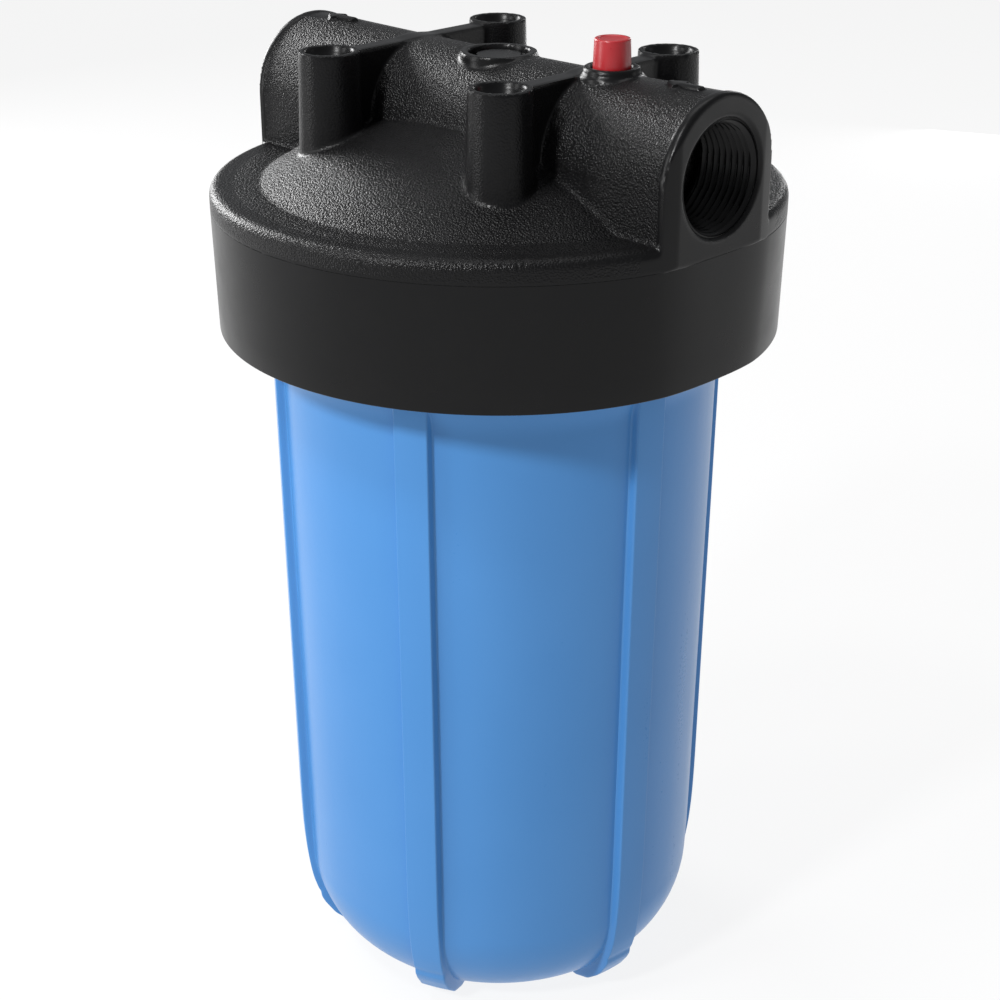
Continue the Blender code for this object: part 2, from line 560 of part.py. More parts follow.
def relief_valve():
    x = RELIEF_X
    # Button: a drafted cap, hollow underneath for the spring, with a screw boss.
    button = turned("relief_button", [(0.0, BUTTON_TOP_Z - 0.5 * MM), (3.4 * MM, BUTTON_TOP_Z - 0.3 * MM),
                                      (4.3 * MM, BUTTON_TOP_Z), (4.8 * MM, BUTTON_TOP_Z - 0.3 * MM),
                                      (5.05 * MM, BUTTON_TOP_Z - 1.0 * MM), (BUTTON_R, RELIEF_COLLAR_Z - 0.4 * MM),
                                      (BUTTON_R, BUTTON_LOW_Z), (4.4 * MM, BUTTON_LOW_Z), (4.4 * MM, 326 * MM),
                                      (STEM_R + GAP, 326 * MM), (STEM_R + GAP, 329 * MM), (0.0, 329 * MM)],
                    RED, 24, at=(x, 0, 0))
    # Stem: a shouldered pin with a flat head under the seal.
    turned("relief_stem", [(0.0, 328.6 * MM), (STEM_R - 0.4 * MM, 328.6 * MM), (STEM_R, 328.0 * MM),
                           (STEM_R, 308.2 * MM), (3.4 * MM, 308.2 * MM), (3.4 * MM, 306.4 * MM), (0.0, 306.4 * MM)],
           STEEL, 16, at=(x, 0, 0))
    turned("relief_seal_washer", ring_profile(STEM_R + GAP, 4.0 * MM, 308.5 * MM, 309.3 * MM), STEEL, 16, True,
           at=(x, 0, 0))
    seal = [(3.05 * MM + 0.95 * MM * math.cos(a), 310.55 * MM + 0.95 * MM * math.sin(a))
            for a in [math.radians(90 - 60 * i) for i in range(6)]]
    turned("relief_seal", seal, RUBBER, 20, True, at=(x, 0, 0))
    # Return spring, between the pocket floor and the roof of the button.
    wire, coil_r, turns = 0.35 * MM, 3.1 * MM, 4
    z0, z1 = RELIEF_POCKET_Z + wire + GAP, 326 * MM - wire - GAP
    curve = bpy.data.curves.new("relief_spring", "CURVE")
    curve.dimensions = "3D"
    curve.bevel_depth = wire
    curve.bevel_resolution = 1
    curve.use_fill_caps = True
    per = 10
    spline = curve.splines.new("POLY")
    spline.points.add(turns * per)
    for i, point in enumerate(spline.points):
        a = 2 * math.pi * i / per
        f = i / (turns * per)
        point.co = (coil_r * math.cos(a), coil_r * math.sin(a), z0 + (z1 - z0) * f, 1.0)
    spring = bpy.data.objects.new("relief_spring", curve)
    spring.location = (x, 0, 0)
    keep(spring, STEEL)
    return button


sump()
head()
sump_o_ring()
cartridge()
relief_valve()
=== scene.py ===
"""Cartridge filter housing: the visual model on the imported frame."""
import math

import bmesh
import bpy
import numpy as np
from mathutils import Matrix, Vector


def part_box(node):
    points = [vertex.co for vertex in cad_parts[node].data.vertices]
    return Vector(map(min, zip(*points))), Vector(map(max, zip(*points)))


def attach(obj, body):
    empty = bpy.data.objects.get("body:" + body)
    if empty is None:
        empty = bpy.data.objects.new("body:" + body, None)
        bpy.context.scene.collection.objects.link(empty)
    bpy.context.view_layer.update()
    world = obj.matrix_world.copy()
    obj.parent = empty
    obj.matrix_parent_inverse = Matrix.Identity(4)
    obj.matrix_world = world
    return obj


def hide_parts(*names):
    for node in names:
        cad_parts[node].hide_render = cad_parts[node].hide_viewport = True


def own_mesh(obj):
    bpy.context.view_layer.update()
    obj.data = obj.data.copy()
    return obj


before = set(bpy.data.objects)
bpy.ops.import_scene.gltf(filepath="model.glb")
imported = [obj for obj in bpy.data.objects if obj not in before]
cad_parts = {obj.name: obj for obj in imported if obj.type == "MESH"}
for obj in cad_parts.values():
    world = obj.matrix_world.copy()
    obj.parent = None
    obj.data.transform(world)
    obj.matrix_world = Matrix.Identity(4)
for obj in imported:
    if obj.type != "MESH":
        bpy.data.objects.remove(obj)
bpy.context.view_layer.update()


MM = 0.001
TAU = 2.0 * math.pi

# ------------------------------------------------------------------ numbers shared with the CAD, in mm
LEAD = 8.0
PORT_X, PORT_Z, TUNNEL_R = 89.9, 298.06, 23.4
COLLAR_EDGE_Z = 275.6
SPLIT_Z = 275.1
BOSS_X, BOSS_Y, BOSS_TOP = 37.2, 37.5, 322.1
RELIEF_X = 46.7


# ------------------------------------------------------------------ mesh helpers
def make_mesh(name, verts, quads=None, tris=None, smooth_deg=40.0, attrs=None):
    """A mesh object from arrays, in mm."""
    verts = np.asarray(verts, float) * MM
    quads = np.zeros((0, 4), np.int64) if quads is None else np.asarray(quads, np.int64)
    tris = np.zeros((0, 3), np.int64) if tris is None else np.asarray(tris, np.int64)
    mesh = bpy.data.meshes.new(name)
    mesh.vertices.add(len(verts))
    mesh.vertices.foreach_set("co", verts.astype(np.float32).ravel())
    loops = np.concatenate([quads.ravel(), tris.ravel()]).astype(np.int32)
    mesh.loops.add(len(loops))
    mesh.loops.foreach_set("vertex_index", loops)
    starts = np.concatenate([np.arange(len(quads)) * 4, len(quads) * 4 + np.arange(len(tris)) * 3]).astype(np.int32)
    mesh.polygons.add(len(starts))
    mesh.polygons.foreach_set("loop_start", starts)
    mesh.update(calc_edges=True)
    mesh.validate()
    if attrs:
        for key, values in attrs.items():
            layer = mesh.attributes.new(key, "FLOAT", "POINT")
            layer.data.foreach_set("value", np.asarray(values, np.float32))
    mesh.shade_smooth()
    if smooth_deg:
        mesh.set_sharp_from_angle(angle=math.radians(smooth_deg))
    obj = bpy.data.objects.new(name, mesh)
    bpy.context.scene.collection.objects.link(obj)
    return obj


def grid(name, P, pole_first=False, pole_last=False, loop_rows=False, smooth_deg=40.0, attrs=None):
    """P is rows x columns x 3 in mm, closed round the columns.

    With columns turning counter-clockwise seen from above and rows rising on
    the outer side, the faces point outwards.
    """
    rows, cols = P.shape[:2]
    verts = P.reshape(-1, 3)
    idx = np.arange(rows * cols).reshape(rows, cols)
    a = idx if loop_rows else idx[:-1]
    b = np.roll(idx, -1, 0) if loop_rows else idx[1:]
    quads = np.stack([a, np.roll(a, -1, 1), np.roll(b, -1, 1), b], -1).reshape(-1, 4)
    tris = []
    extra = []
    if pole_first:
        n = len(verts) + len(extra)
        extra.append(P[0].mean(0))
        r = idx[0]
        tris.append(np.stack([np.full(cols, n), np.roll(r, -1), r], -1))
    if pole_last:
        n = len(verts) + len(extra)
        extra.append(P[-1].mean(0))
        r = idx[-1]
        tris.append(np.stack([np.full(cols, n), r, np.roll(r, -1)], -1))
    if extra:
        verts = np.concatenate([verts, np.array(extra)])
        if attrs:
            attrs = {k: np.concatenate([np.ravel(v), np.zeros(len(extra))]) for k, v in attrs.items()}
    elif attrs:
        attrs = {k: np.ravel(v) for k, v in attrs.items()}
    return make_mesh(name, verts, quads, np.concatenate(tris) if tris else None, smooth_deg, attrs)


def fillet(points, radius, closed=False, n=4):
    """Round the corners of a (radius, height) polyline. radius is one number or one per point."""
    pts = [np.array(p, float) for p in points]
    m = len(pts)
    radii = [radius] * m if np.isscalar(radius) else list(radius)
    out = []
    for i, p in enumerate(pts):
        if not closed and i in (0, m - 1):
            out.append(tuple(p))
            continue
        a, b = pts[i - 1], pts[(i + 1) % m]
        u, v = a - p, b - p
        lu, lv = np.linalg.norm(u), np.linalg.norm(v)
        u, v = u / lu, v / lv
        cosang = float(np.clip(u @ v, -1, 1))
        ang = math.acos(cosang)
        r = radii[i]
        if r <= 0 or ang > math.radians(172):
            out.append(tuple(p))
            continue
        t = min(r / math.tan(ang / 2), 0.45 * lu, 0.45 * lv)
        r = t * math.tan(ang / 2)
        mid = (u + v) / np.linalg.norm(u + v)
        c = p + mid * r / math.sin(ang / 2)
        s, e = p + u * t, p + v * t
        a0 = math.atan2(*(s - c)[::-1])
        a1 = math.atan2(*(e - c)[::-1])
        d = (a1 - a0 + math.pi) % TAU - math.pi
        for k in range(n + 1):
            w = a0 + d * k / n
            out.append((c[0] + r * math.cos(w), c[1] + r * math.sin(w)))
    return out


def revolve(name, points, cols=96, closed=False, smooth_deg=35.0, at=(0.0, 0.0)):
    """Turn (radius, height) points. Rising on the outer side. Radius 0 at an end makes a pole."""
    pts = list(points)
    first = pts[0][0] < 1e-6 and not closed
    last = pts[-1][0] < 1e-6 and not closed
    p0, p1 = pts[0], pts[-1]
    if first:
        pts = pts[1:]
    if last:
        pts = pts[:-1]
    th = np.arange(cols) * TAU / cols
    rz = np.array(pts, float)
    P = np.stack([at[0] + rz[:, :1] * np.cos(th), at[1] + rz[:, :1] * np.sin(th),
                  np.repeat(rz[:, 1:], cols, 1)], -1)
    obj = grid(name, P, first, last, closed, smooth_deg)
    verts = obj.data.vertices
    k = len(pts) * cols
    if first:
        verts[k].co = Vector((at[0], at[1], p0[1])) * MM
        k += 1
    if last:
        verts[k].co = Vector((at[0], at[1], p1[1])) * MM
    return obj


def resample(poly, count):
    poly = np.array(poly, float)
    d = np.concatenate([[0], np.cumsum(np.linalg.norm(np.diff(poly, axis=0), axis=1))])
    s = np.linspace(0, d[-1], count)
    return np.stack([np.interp(s, d, poly[:, 0]), np.interp(s, d, poly[:, 1])], -1)


def smooth_curve(points, per=8):
    """A Catmull-Rom curve through (radius, height) points."""
    p = np.array(points, float)
    q = np.concatenate([[2 * p[0] - p[1]], p, [2 * p[-1] - p[-2]]])
    out = []
    for i in range(1, len(q) - 2):
        for k in range(per):
            t = k / per
            a, b, c, d = q[i - 1], q[i], q[i + 1], q[i + 2]
            out.append(0.5 * ((2 * b) + (c - a) * t + (2 * a - 5 * b + 4 * c - d) * t * t
                              + (3 * b - a - 3 * c + d) * t ** 3))
    out.append(p[-1])
    return [tuple(v) for v in out]


def ellipse(c, r, a0, a1, n):
    k = np.radians(np.linspace(a0, a1, n + 1))
    return [(c[0] + r[0] * math.cos(v), c[1] + r[1] * math.sin(v)) for v in k]


def sstep(x):
    x = np.clip(x, 0, 1)
    return x * x * x * (x * (6 * x - 15) + 10)


def helix_height(theta, z, start_z, turns, phase, hw_root, hw_crest, height, fade=0.35):
    """Height of a right-hand thread ridge at an angle and a height, in mm."""
    th = np.mod(theta, TAU)
    n = np.round((z - start_z) / LEAD - th / TAU)
    total = n + th / TAU                              # turns along the helix
    w = np.abs(z - start_z - LEAD * total)
    flank = np.clip((hw_root - w) / (hw_root - hw_crest), 0, 1)
    flank = flank * flank * (3 - 2 * flank) * 0.35 + flank * 0.65
    ends = sstep((total + 0.02) / fade) * sstep((turns + 0.02 - total) / fade)
    return height * flank * ends


# ------------------------------------------------------------------ distance-field helpers
def r_union(a, b, r):
    if r <= 0:
        return np.minimum(a, b)
    u, v = np.maximum(r - a, 0), np.maximum(r - b, 0)
    return np.maximum(r, np.minimum(a, b)) - np.sqrt(u * u + v * v)


def r_inter(a, b, r):
    if r <= 0:
        return np.maximum(a, b)
    u, v = np.maximum(r + a, 0), np.maximum(r + b, 0)
    return np.minimum(-r, np.maximum(a, b)) + np.sqrt(u * u + v * v)


def polygon_distance(px, py, poly):
    """Signed distance to a closed polygon, negative inside."""
    poly = np.array(poly, float)
    best = np.full(px.shape, 1e9)
    inside = np.zeros(px.shape, bool)
    m = len(poly)
    for i in range(m):
        a, b = poly[i], poly[(i + 1) % m]
        ex, ey = b - a
        wx, wy = px - a[0], py - a[1]
        t = np.clip((wx * ex + wy * ey) / (ex * ex + ey * ey + 1e-12), 0, 1)
        best = np.minimum(best, (wx - ex * t) ** 2 + (wy - ey * t) ** 2)
        if a[1] != b[1]:
            cross = ((a[1] > py) != (b[1] > py)) & (px < (b[0] - a[0]) * (py - a[1]) / (b[1] - a[1]) + a[0])
            inside ^= cross
    return np.where(inside, -1.0, 1.0) * np.sqrt(best)


class TurnedField:
    """Distance to a turned solid, looked up in a fine (radius, height) table."""

    def __init__(self, poly, r_max, z0, z1, h=0.2):
        self.h, self.z0 = h, z0
        self.nr, self.nz = int(r_max / h) + 3, int((z1 - z0) / h) + 3
        r = np.arange(self.nr) * h
        z = z0 + np.arange(self.nz) * h
        R, Z = np.meshgrid(r, z, indexing="ij")
        self.table = polygon_distance(R, Z, poly).astype(np.float32)

    def __call__(self, rho, z):
        u = np.clip(rho / self.h, 0, self.nr - 1.001)
        v = np.clip((z - self.z0) / self.h, 0, self.nz - 1.001)
        i, j = u.astype(np.int32), v.astype(np.int32)
        fu, fv = u - i, v - j
        t = self.table
        return ((t[i, j] * (1 - fu) + t[i + 1, j] * fu) * (1 - fv)
                + (t[i, j + 1] * (1 - fu) + t[i + 1, j + 1] * fu) * fv)


def surface_nets(field, lo, hi, h):
    """Closed quad surface where field(x, y, z) is zero, snapped onto it."""
    axes = [np.arange(l, u + h, h) for l, u in zip(lo, hi)]
    nx, ny, nz = (len(a) for a in axes)
    D = np.empty((nx, ny, nz), np.float32)
    step = 24
    for i in range(0, nx, step):
        X, Y, Z = np.meshgrid(axes[0][i:i + step], axes[1], axes[2], indexing="ij")
        D[i:i + step] = field(X, Y, Z)
    D[0] = D[-1] = 1
    D[:, 0] = D[:, -1] = 1
    D[:, :, 0] = D[:, :, -1] = 1
    S = D < 0
    count = np.zeros((nx - 1, ny - 1, nz - 1), np.uint8)
    offs = [(a, b, c) for a in (0, 1) for b in (0, 1) for c in (0, 1)]
    for a, b, c in offs:
        count += S[a:nx - 1 + a, b:ny - 1 + b, c:nz - 1 + c]
    active = (count > 0) & (count < 8)
    cells = np.argwhere(active)
    index = np.full(active.shape, -1, np.int32)
    index[active] = np.arange(len(cells))
    vals = np.stack([D[cells[:, 0] + a, cells[:, 1] + b, cells[:, 2] + c] for a, b, c in offs], -1)
    corner = np.array(offs, float)
    total = np.zeros((len(cells), 3))
    number = np.zeros(len(cells))
    for p in range(8):
        for q in range(p + 1, 8):
            if np.abs(corner[p] - corner[q]).sum() != 1:
                continue
            va, vb = vals[:, p], vals[:, q]
            cut = (va < 0) != (vb < 0)
            t = np.where(cut, va / np.where(cut, va - vb, 1), 0)
            total += cut[:, None] * (corner[p] + (corner[q] - corner[p]) * t[:, None])
            number += cut
    origin = np.array([a[0] for a in axes])
    V = origin + h * (cells + total / number[:, None])
    quads = []
    for ax in range(3):
        o1, o2 = [d for d in range(3) if d != ax]
        sl_a = [slice(1, -1)] * 3
        sl_b = [slice(1, -1)] * 3
        sl_a[ax] = slice(0, -1)
        sl_b[ax] = slice(1, None)
        A, B = S[tuple(sl_a)], S[tuple(sl_b)]
        cut = np.argwhere(A != B)
        low = np.zeros(3, int)
        low[o1] = low[o2] = 1
        at = cut + low
        sign = A[tuple(cut.T)]

        def cell(d1, d2):
            c = at.copy()
            c[:, o1] -= d1
            c[:, o2] -= d2
            return index[tuple(c.T)]
        q = np.stack([cell(1, 1), cell(0, 1), cell(0, 0), cell(1, 0)], -1)
        flip = sign if ax != 1 else ~sign
        q = np.where(flip[:, None], q, q[:, ::-1])
        quads.append(q)
    quads = np.concatenate(quads)
    e = 0.05
    for _ in range(2):
        f = field(V[:, 0], V[:, 1], V[:, 2])
        g = np.stack([field(V[:, 0] + e, V[:, 1], V[:, 2]) - f, field(V[:, 0], V[:, 1] + e, V[:, 2]) - f,
                      field(V[:, 0], V[:, 1], V[:, 2] + e) - f], -1) / e
        n2 = np.maximum((g * g).sum(1), 0.25)
        V = V - np.clip((f / n2), -0.4 * h, 0.4 * h)[:, None] * g
    return V, quads


# ------------------------------------------------------------------ material helpers
class Nodes:
    """Short forms for building a node tree."""

    def __init__(self, name):
        self.mat = bpy.data.materials.new(name)
        self.mat.use_nodes = True
        self.tree = self.mat.node_tree
        self.shader = self.tree.nodes["Principled BSDF"]

    def new(self, kind, **props):
        node = self.tree.nodes.new(kind)
        for key, value in props.items():
            setattr(node, key, value)
        return node

    def link(self, a, b):
        self.tree.links.new(a, b)

    def coords(self):
        if not hasattr(self, "_co"):
            self._co = self.new("ShaderNodeTexCoord").outputs["Object"]
        return self._co

    def noise(self, scale, detail=4.0, rough=0.55, distort=0.0, vec=None):
        n = self.new("ShaderNodeTexNoise")
        n.inputs["Scale"].default_value = scale
        n.inputs["Detail"].default_value = detail
        n.inputs["Roughness"].default_value = rough
        n.inputs["Distortion"].default_value = distort
        self.link(vec or self.coords(), n.inputs["Vector"])
        return n.outputs["Fac"]

    def voronoi(self, scale, feature="SMOOTH_F1", smoothness=0.6, vec=None, out="Distance", random=1.0):
        n = self.new("ShaderNodeTexVoronoi", feature=feature)
        n.inputs["Scale"].default_value = scale
        n.inputs["Randomness"].default_value = random
        if feature == "SMOOTH_F1":
            n.inputs["Smoothness"].default_value = smoothness
        self.link(vec or self.coords(), n.inputs["Vector"])
        return n.outputs[out]

    def math(self, op, a, b=None, clamp=False):
        n = self.new("ShaderNodeMath", operation=op, use_clamp=clamp)
        for i, v in enumerate((a, b)):
            if v is None:
                continue
            if isinstance(v, (int, float)):
                n.inputs[i].default_value = v
            else:
                self.link(v, n.inputs[i])
        return n.outputs[0]

    def ramp(self, fac, stops):
        n = self.new("ShaderNodeValToRGB")
        els = n.color_ramp.elements
        while len(els) < len(stops):
            els.new(0.5)
        for el, (pos, col) in zip(els, stops):
            el.position = pos
            el.color = (*col, 1.0) if not isinstance(col, (int, float)) else (col, col, col, 1.0)
        self.link(fac, n.inputs["Fac"])
        return n.outputs["Color"]

    def scale(self, value, lo0, hi0, lo1, hi1):
        n = self.new("ShaderNodeMapRange")
        for key, v in (("From Min", lo0), ("From Max", hi0), ("To Min", lo1), ("To Max", hi1)):
            n.inputs[key].default_value = v
        self.link(value, n.inputs["Value"])
        return n.outputs["Result"]

    def mix(self, fac, a, b):
        n = self.new("ShaderNodeMix", data_type="RGBA")
        for socket, v in ((n.inputs["Factor"], fac), (n.inputs[6], a), (n.inputs[7], b)):
            if isinstance(v, (int, float)):
                socket.default_value = v
            elif isinstance(v, tuple):
                socket.default_value = (*v, 1.0)
            else:
                self.link(v, socket)
        return n.outputs[2]

    def attribute(self, name):
        n = self.new("ShaderNodeAttribute", attribute_name=name, attribute_type="GEOMETRY")
        return n.outputs["Fac"]

    def bump(self, height, distance, strength=1.0, normal=None):
        n = self.new("ShaderNodeBump")
        n.inputs["Distance"].default_value = distance
        if isinstance(strength, (int, float)):
            n.inputs["Strength"].default_value = strength
        else:
            self.link(strength, n.inputs["Strength"])
        self.link(height, n.inputs["Height"])
        if normal is not None:
            self.link(normal, n.inputs["Normal"])
        return n.outputs["Normal"]

    def set(self, **values):
        names = {"color": "Base Color", "rough": "Roughness", "metal": "Metallic", "ior": "IOR",
                 "spec": "Specular IOR Level", "coat": "Coat Weight", "coat_rough": "Coat Roughness",
                 "sheen": "Sheen Weight", "normal": "Normal", "sss": "Subsurface Weight"}
        for key, value in values.items():
            socket = self.shader.inputs[names[key]]
            if isinstance(value, (int, float)):
                socket.default_value = value
            elif isinstance(value, tuple):
                socket.default_value = (*value, 1.0)
            else:
                self.link(value, socket)
        return self.mat


def axial_offset(n, amount):
    """Object coordinates stretched or squeezed per axis."""
    m = n.new("ShaderNodeMapping")
    m.inputs["Scale"].default_value = amount
    n.link(n.coords(), m.inputs["Vector"])
    return m.outputs["Vector"]


def head_material():
    n = Nodes("head_black_grained")
    grain = n.attribute("grain")
    # Pebble grain: rounded cells a little under a millimetre across, slightly pushed about.
    warp = n.new("ShaderNodeTexNoise")
    warp.inputs["Scale"].default_value = 330.0
    warp.inputs["Detail"].default_value = 1.0
    n.link(n.coords(), warp.inputs["Vector"])
    w = n.new("ShaderNodeVectorMath", operation="MULTIPLY")
    w.inputs[1].default_value = (0.0006, 0.0006, 0.0006)
    n.link(warp.outputs["Color"], w.inputs[0])
    co = n.new("ShaderNodeVectorMath", operation="ADD")
    n.link(n.coords(), co.inputs[0])
    n.link(w.outputs[0], co.inputs[1])
    cells = n.voronoi(1600.0, smoothness=0.22, vec=co.outputs[0])
    fine = n.noise(3400.0, 2.0, 0.5)
    height = n.math("ADD", n.math("MULTIPLY", cells, -1.0), n.math("MULTIPLY", fine, 0.16))
    micro = n.noise(5200.0, 3.0, 0.6)
    flow = n.noise(38.0, 3.0, 0.5)
    normal = n.bump(height, 0.00036, n.math("MULTIPLY", grain, 1.0))
    normal = n.bump(n.math("ADD", n.math("MULTIPLY", micro, 0.5), n.math("MULTIPLY", flow, 1.2)), 0.000022, 0.4, normal)
    # The tops of the grain are rubbed a little smoother than the valleys.
    worn = n.scale(cells, 0.10, 0.70, 0.24, 0.38)
    plain = n.scale(n.noise(55.0, 5.0, 0.65), 0.3, 0.7, 0.26, 0.33)
    rough = n.new("ShaderNodeMix", data_type="FLOAT")
    n.link(grain, rough.inputs["Factor"])
    n.link(plain, rough.inputs[2])
    n.link(worn, rough.inputs[3])
    dust = n.scale(n.noise(90.0, 6.0, 0.7), 0.45, 0.85, 0.0, 1.0)
    colour = n.mix(n.math("MULTIPLY", dust, 0.35), (0.0040, 0.0040, 0.0043), (0.0070, 0.0066, 0.0070))
    # Painted shade: the base colour is lighter on the grain's tops and darker in its valleys, following the bump.
    painted_grain_shade = n.math("MULTIPLY", n.scale(cells, 0.15, 0.62, 1.0, 0.0), grain)
    colour = n.mix(painted_grain_shade, colour, (0.0085, 0.0082, 0.0087))
    return n.set(color=colour, rough=rough.outputs[0], spec=0.20, ior=1.45, normal=normal)


def sump_material():
    n = Nodes("sump_blue_satin")
    slow = n.noise(14.0, 3.0, 0.5)
    streak = n.noise(60.0, 4.0, 0.6, vec=axial_offset(n, (1.0, 1.0, 0.08)))
    speck = n.noise(900.0, 3.0, 0.7)
    base = n.mix(n.scale(slow, 0.3, 0.7, 0.0, 1.0), (0.056, 0.214, 0.505), (0.065, 0.229, 0.528))
    base = n.mix(n.math("MULTIPLY", n.scale(streak, 0.35, 0.8, 0.0, 1.0), 0.25), base, (0.072, 0.241, 0.533))
    base = n.mix(n.math("MULTIPLY", n.scale(speck, 0.55, 0.8, 0.0, 1.0), 0.12), base, (0.036, 0.165, 0.440))
    rough = n.math("ADD", n.scale(streak, 0.3, 0.75, 0.27, 0.36), n.scale(speck, 0.3, 0.7, -0.015, 0.02))
    peel = n.noise(240.0, 2.0, 0.4)
    fine = n.noise(3800.0, 2.0, 0.5)
    normal = n.bump(peel, 0.00006, 0.35)
    normal = n.bump(fine, 0.000004, 0.3, normal)
    return n.set(color=base, rough=rough, spec=0.5, ior=1.34, normal=normal)


def button_material():
    n = Nodes("button_red_satin")
    slow = n.noise(120.0, 3.0)
    scuff = n.noise(1400.0, 5.0, 0.7, vec=axial_offset(n, (1.0, 1.0, 0.3)))
    base = n.mix(n.scale(slow, 0.3, 0.7, 0.0, 1.0), (0.31, 0.011, 0.016), (0.36, 0.016, 0.021))
    rough = n.scale(scuff, 0.3, 0.75, 0.26, 0.42)
    normal = n.bump(n.noise(2600.0, 3.0), 0.00002, 0.4)
    return n.set(color=base, rough=rough, normal=normal, spec=0.5)


def rubber_material():
    n = Nodes("seal_rubber")
    fine = n.noise(2400.0, 5.0, 0.7)
    bloom = n.noise(180.0, 4.0, 0.6)
    base = n.mix(n.scale(bloom, 0.35, 0.75, 0.0, 1.0), (0.011, 0.011, 0.011), (0.028, 0.027, 0.026))
    rough = n.scale(fine, 0.3, 0.7, 0.5, 0.68)
    return n.set(color=base, rough=rough, normal=n.bump(fine, 0.00003, 0.6), spec=0.4)


def steel_material():
    n = Nodes("stainless_drawn")
    lines = n.noise(900.0, 5.0, 0.7, vec=axial_offset(n, (1.0, 1.0, 9.0)))
    base = n.mix(n.scale(lines, 0.3, 0.7, 0.0, 1.0), (0.50, 0.49, 0.47), (0.66, 0.65, 0.63))
    rough = n.scale(lines, 0.3, 0.7, 0.2, 0.36)
    return n.set(color=base, rough=rough, metal=1.0, normal=n.bump(lines, 0.00001, 0.5))


def media_material():
    """Spun polyester: matted fibres with a faint fuzz, with painted shade darkening it deeper in the folds."""
    n = Nodes("pleated_polyester")
    fibre_a = n.noise(1500.0, 6.0, 0.75, 0.8, vec=axial_offset(n, (1.0, 1.0, 0.22)))
    fibre_b = n.noise(1900.0, 6.0, 0.75, 1.2, vec=axial_offset(n, (0.3, 0.3, 1.0)))
    clump = n.noise(160.0, 4.0, 0.6)
    depth = n.attribute("depth")
    base = n.mix(n.scale(clump, 0.3, 0.7, 0.0, 1.0), (0.74, 0.745, 0.72), (0.86, 0.86, 0.84))
    # Painted shade: the media turns greyer the deeper a point lies in the folds.
    base = n.mix(n.math("MULTIPLY", depth, 0.35), base, (0.55, 0.56, 0.55))
    both = n.math("ADD", fibre_a, fibre_b)
    base = n.mix(n.scale(both, 0.8, 1.25, 0.0, 0.22), base, (0.62, 0.63, 0.62))
    rough = n.scale(both, 0.7, 1.3, 0.82, 0.95)
    n.shader.inputs["Sheen Weight"].default_value = 0.25
    n.shader.inputs["Sheen Roughness"].default_value = 0.5
    return n.set(color=base, rough=rough, normal=n.bump(both, 0.00009, 0.7), spec=0.25)


def cap_material(name, light, dark, rough=(0.5, 0.64), grain=1500.0):
    n = Nodes(name)
    slow = n.noise(70.0, 4.0, 0.6)
    fine = n.noise(grain, 4.0, 0.65)
    base = n.mix(n.scale(slow, 0.3, 0.7, 0.0, 1.0), dark, light)
    rough_out = n.scale(fine, 0.3, 0.7, rough[0], rough[1])
    return n.set(color=base, rough=rough_out, normal=n.bump(fine, 0.00003, 0.5), spec=0.4)


def band_material():
    """Woven strap: fine threads along and across the band."""
    n = Nodes("cartridge_strap")
    wave = n.new("ShaderNodeTexWave", wave_type="BANDS", bands_direction="Z")
    wave.inputs["Scale"].default_value = 420.0
    wave.inputs["Distortion"].default_value = 1.2
    wave.inputs["Detail"].default_value = 2.0
    n.link(n.coords(), wave.inputs["Vector"])
    fine = n.noise(1800.0, 4.0, 0.7)
    both = n.math("ADD", n.math("MULTIPLY", wave.outputs["Fac"], 0.7), n.math("MULTIPLY", fine, 0.5))
    base = n.mix(n.scale(both, 0.3, 0.95, 0.0, 1.0), (0.47, 0.52, 0.60), (0.68, 0.72, 0.78))
    return n.set(color=base, rough=n.scale(both, 0.3, 0.95, 0.5, 0.72), normal=n.bump(both, 0.00008, 0.7), spec=0.35)


HEAD_MAT = head_material()
SUMP_MAT = sump_material()
RED_MAT = button_material()
RUBBER_MAT = rubber_material()
STEEL_MAT = steel_material()
MEDIA_MAT = media_material()
CAP_MAT = cap_material("end_cap_plastisol", (0.60, 0.68, 0.78), (0.50, 0.60, 0.72))
CORE_MAT = cap_material("core_natural", (0.80, 0.80, 0.77), (0.70, 0.70, 0.67), (0.38, 0.5))
BAND_MAT = band_material()


def dress(obj, mat, body, slot, *nodes):
    obj.data.materials.clear()
    obj.data.materials.append(mat)
    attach(obj, body)
    if nodes:
        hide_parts(*nodes)
    return obj


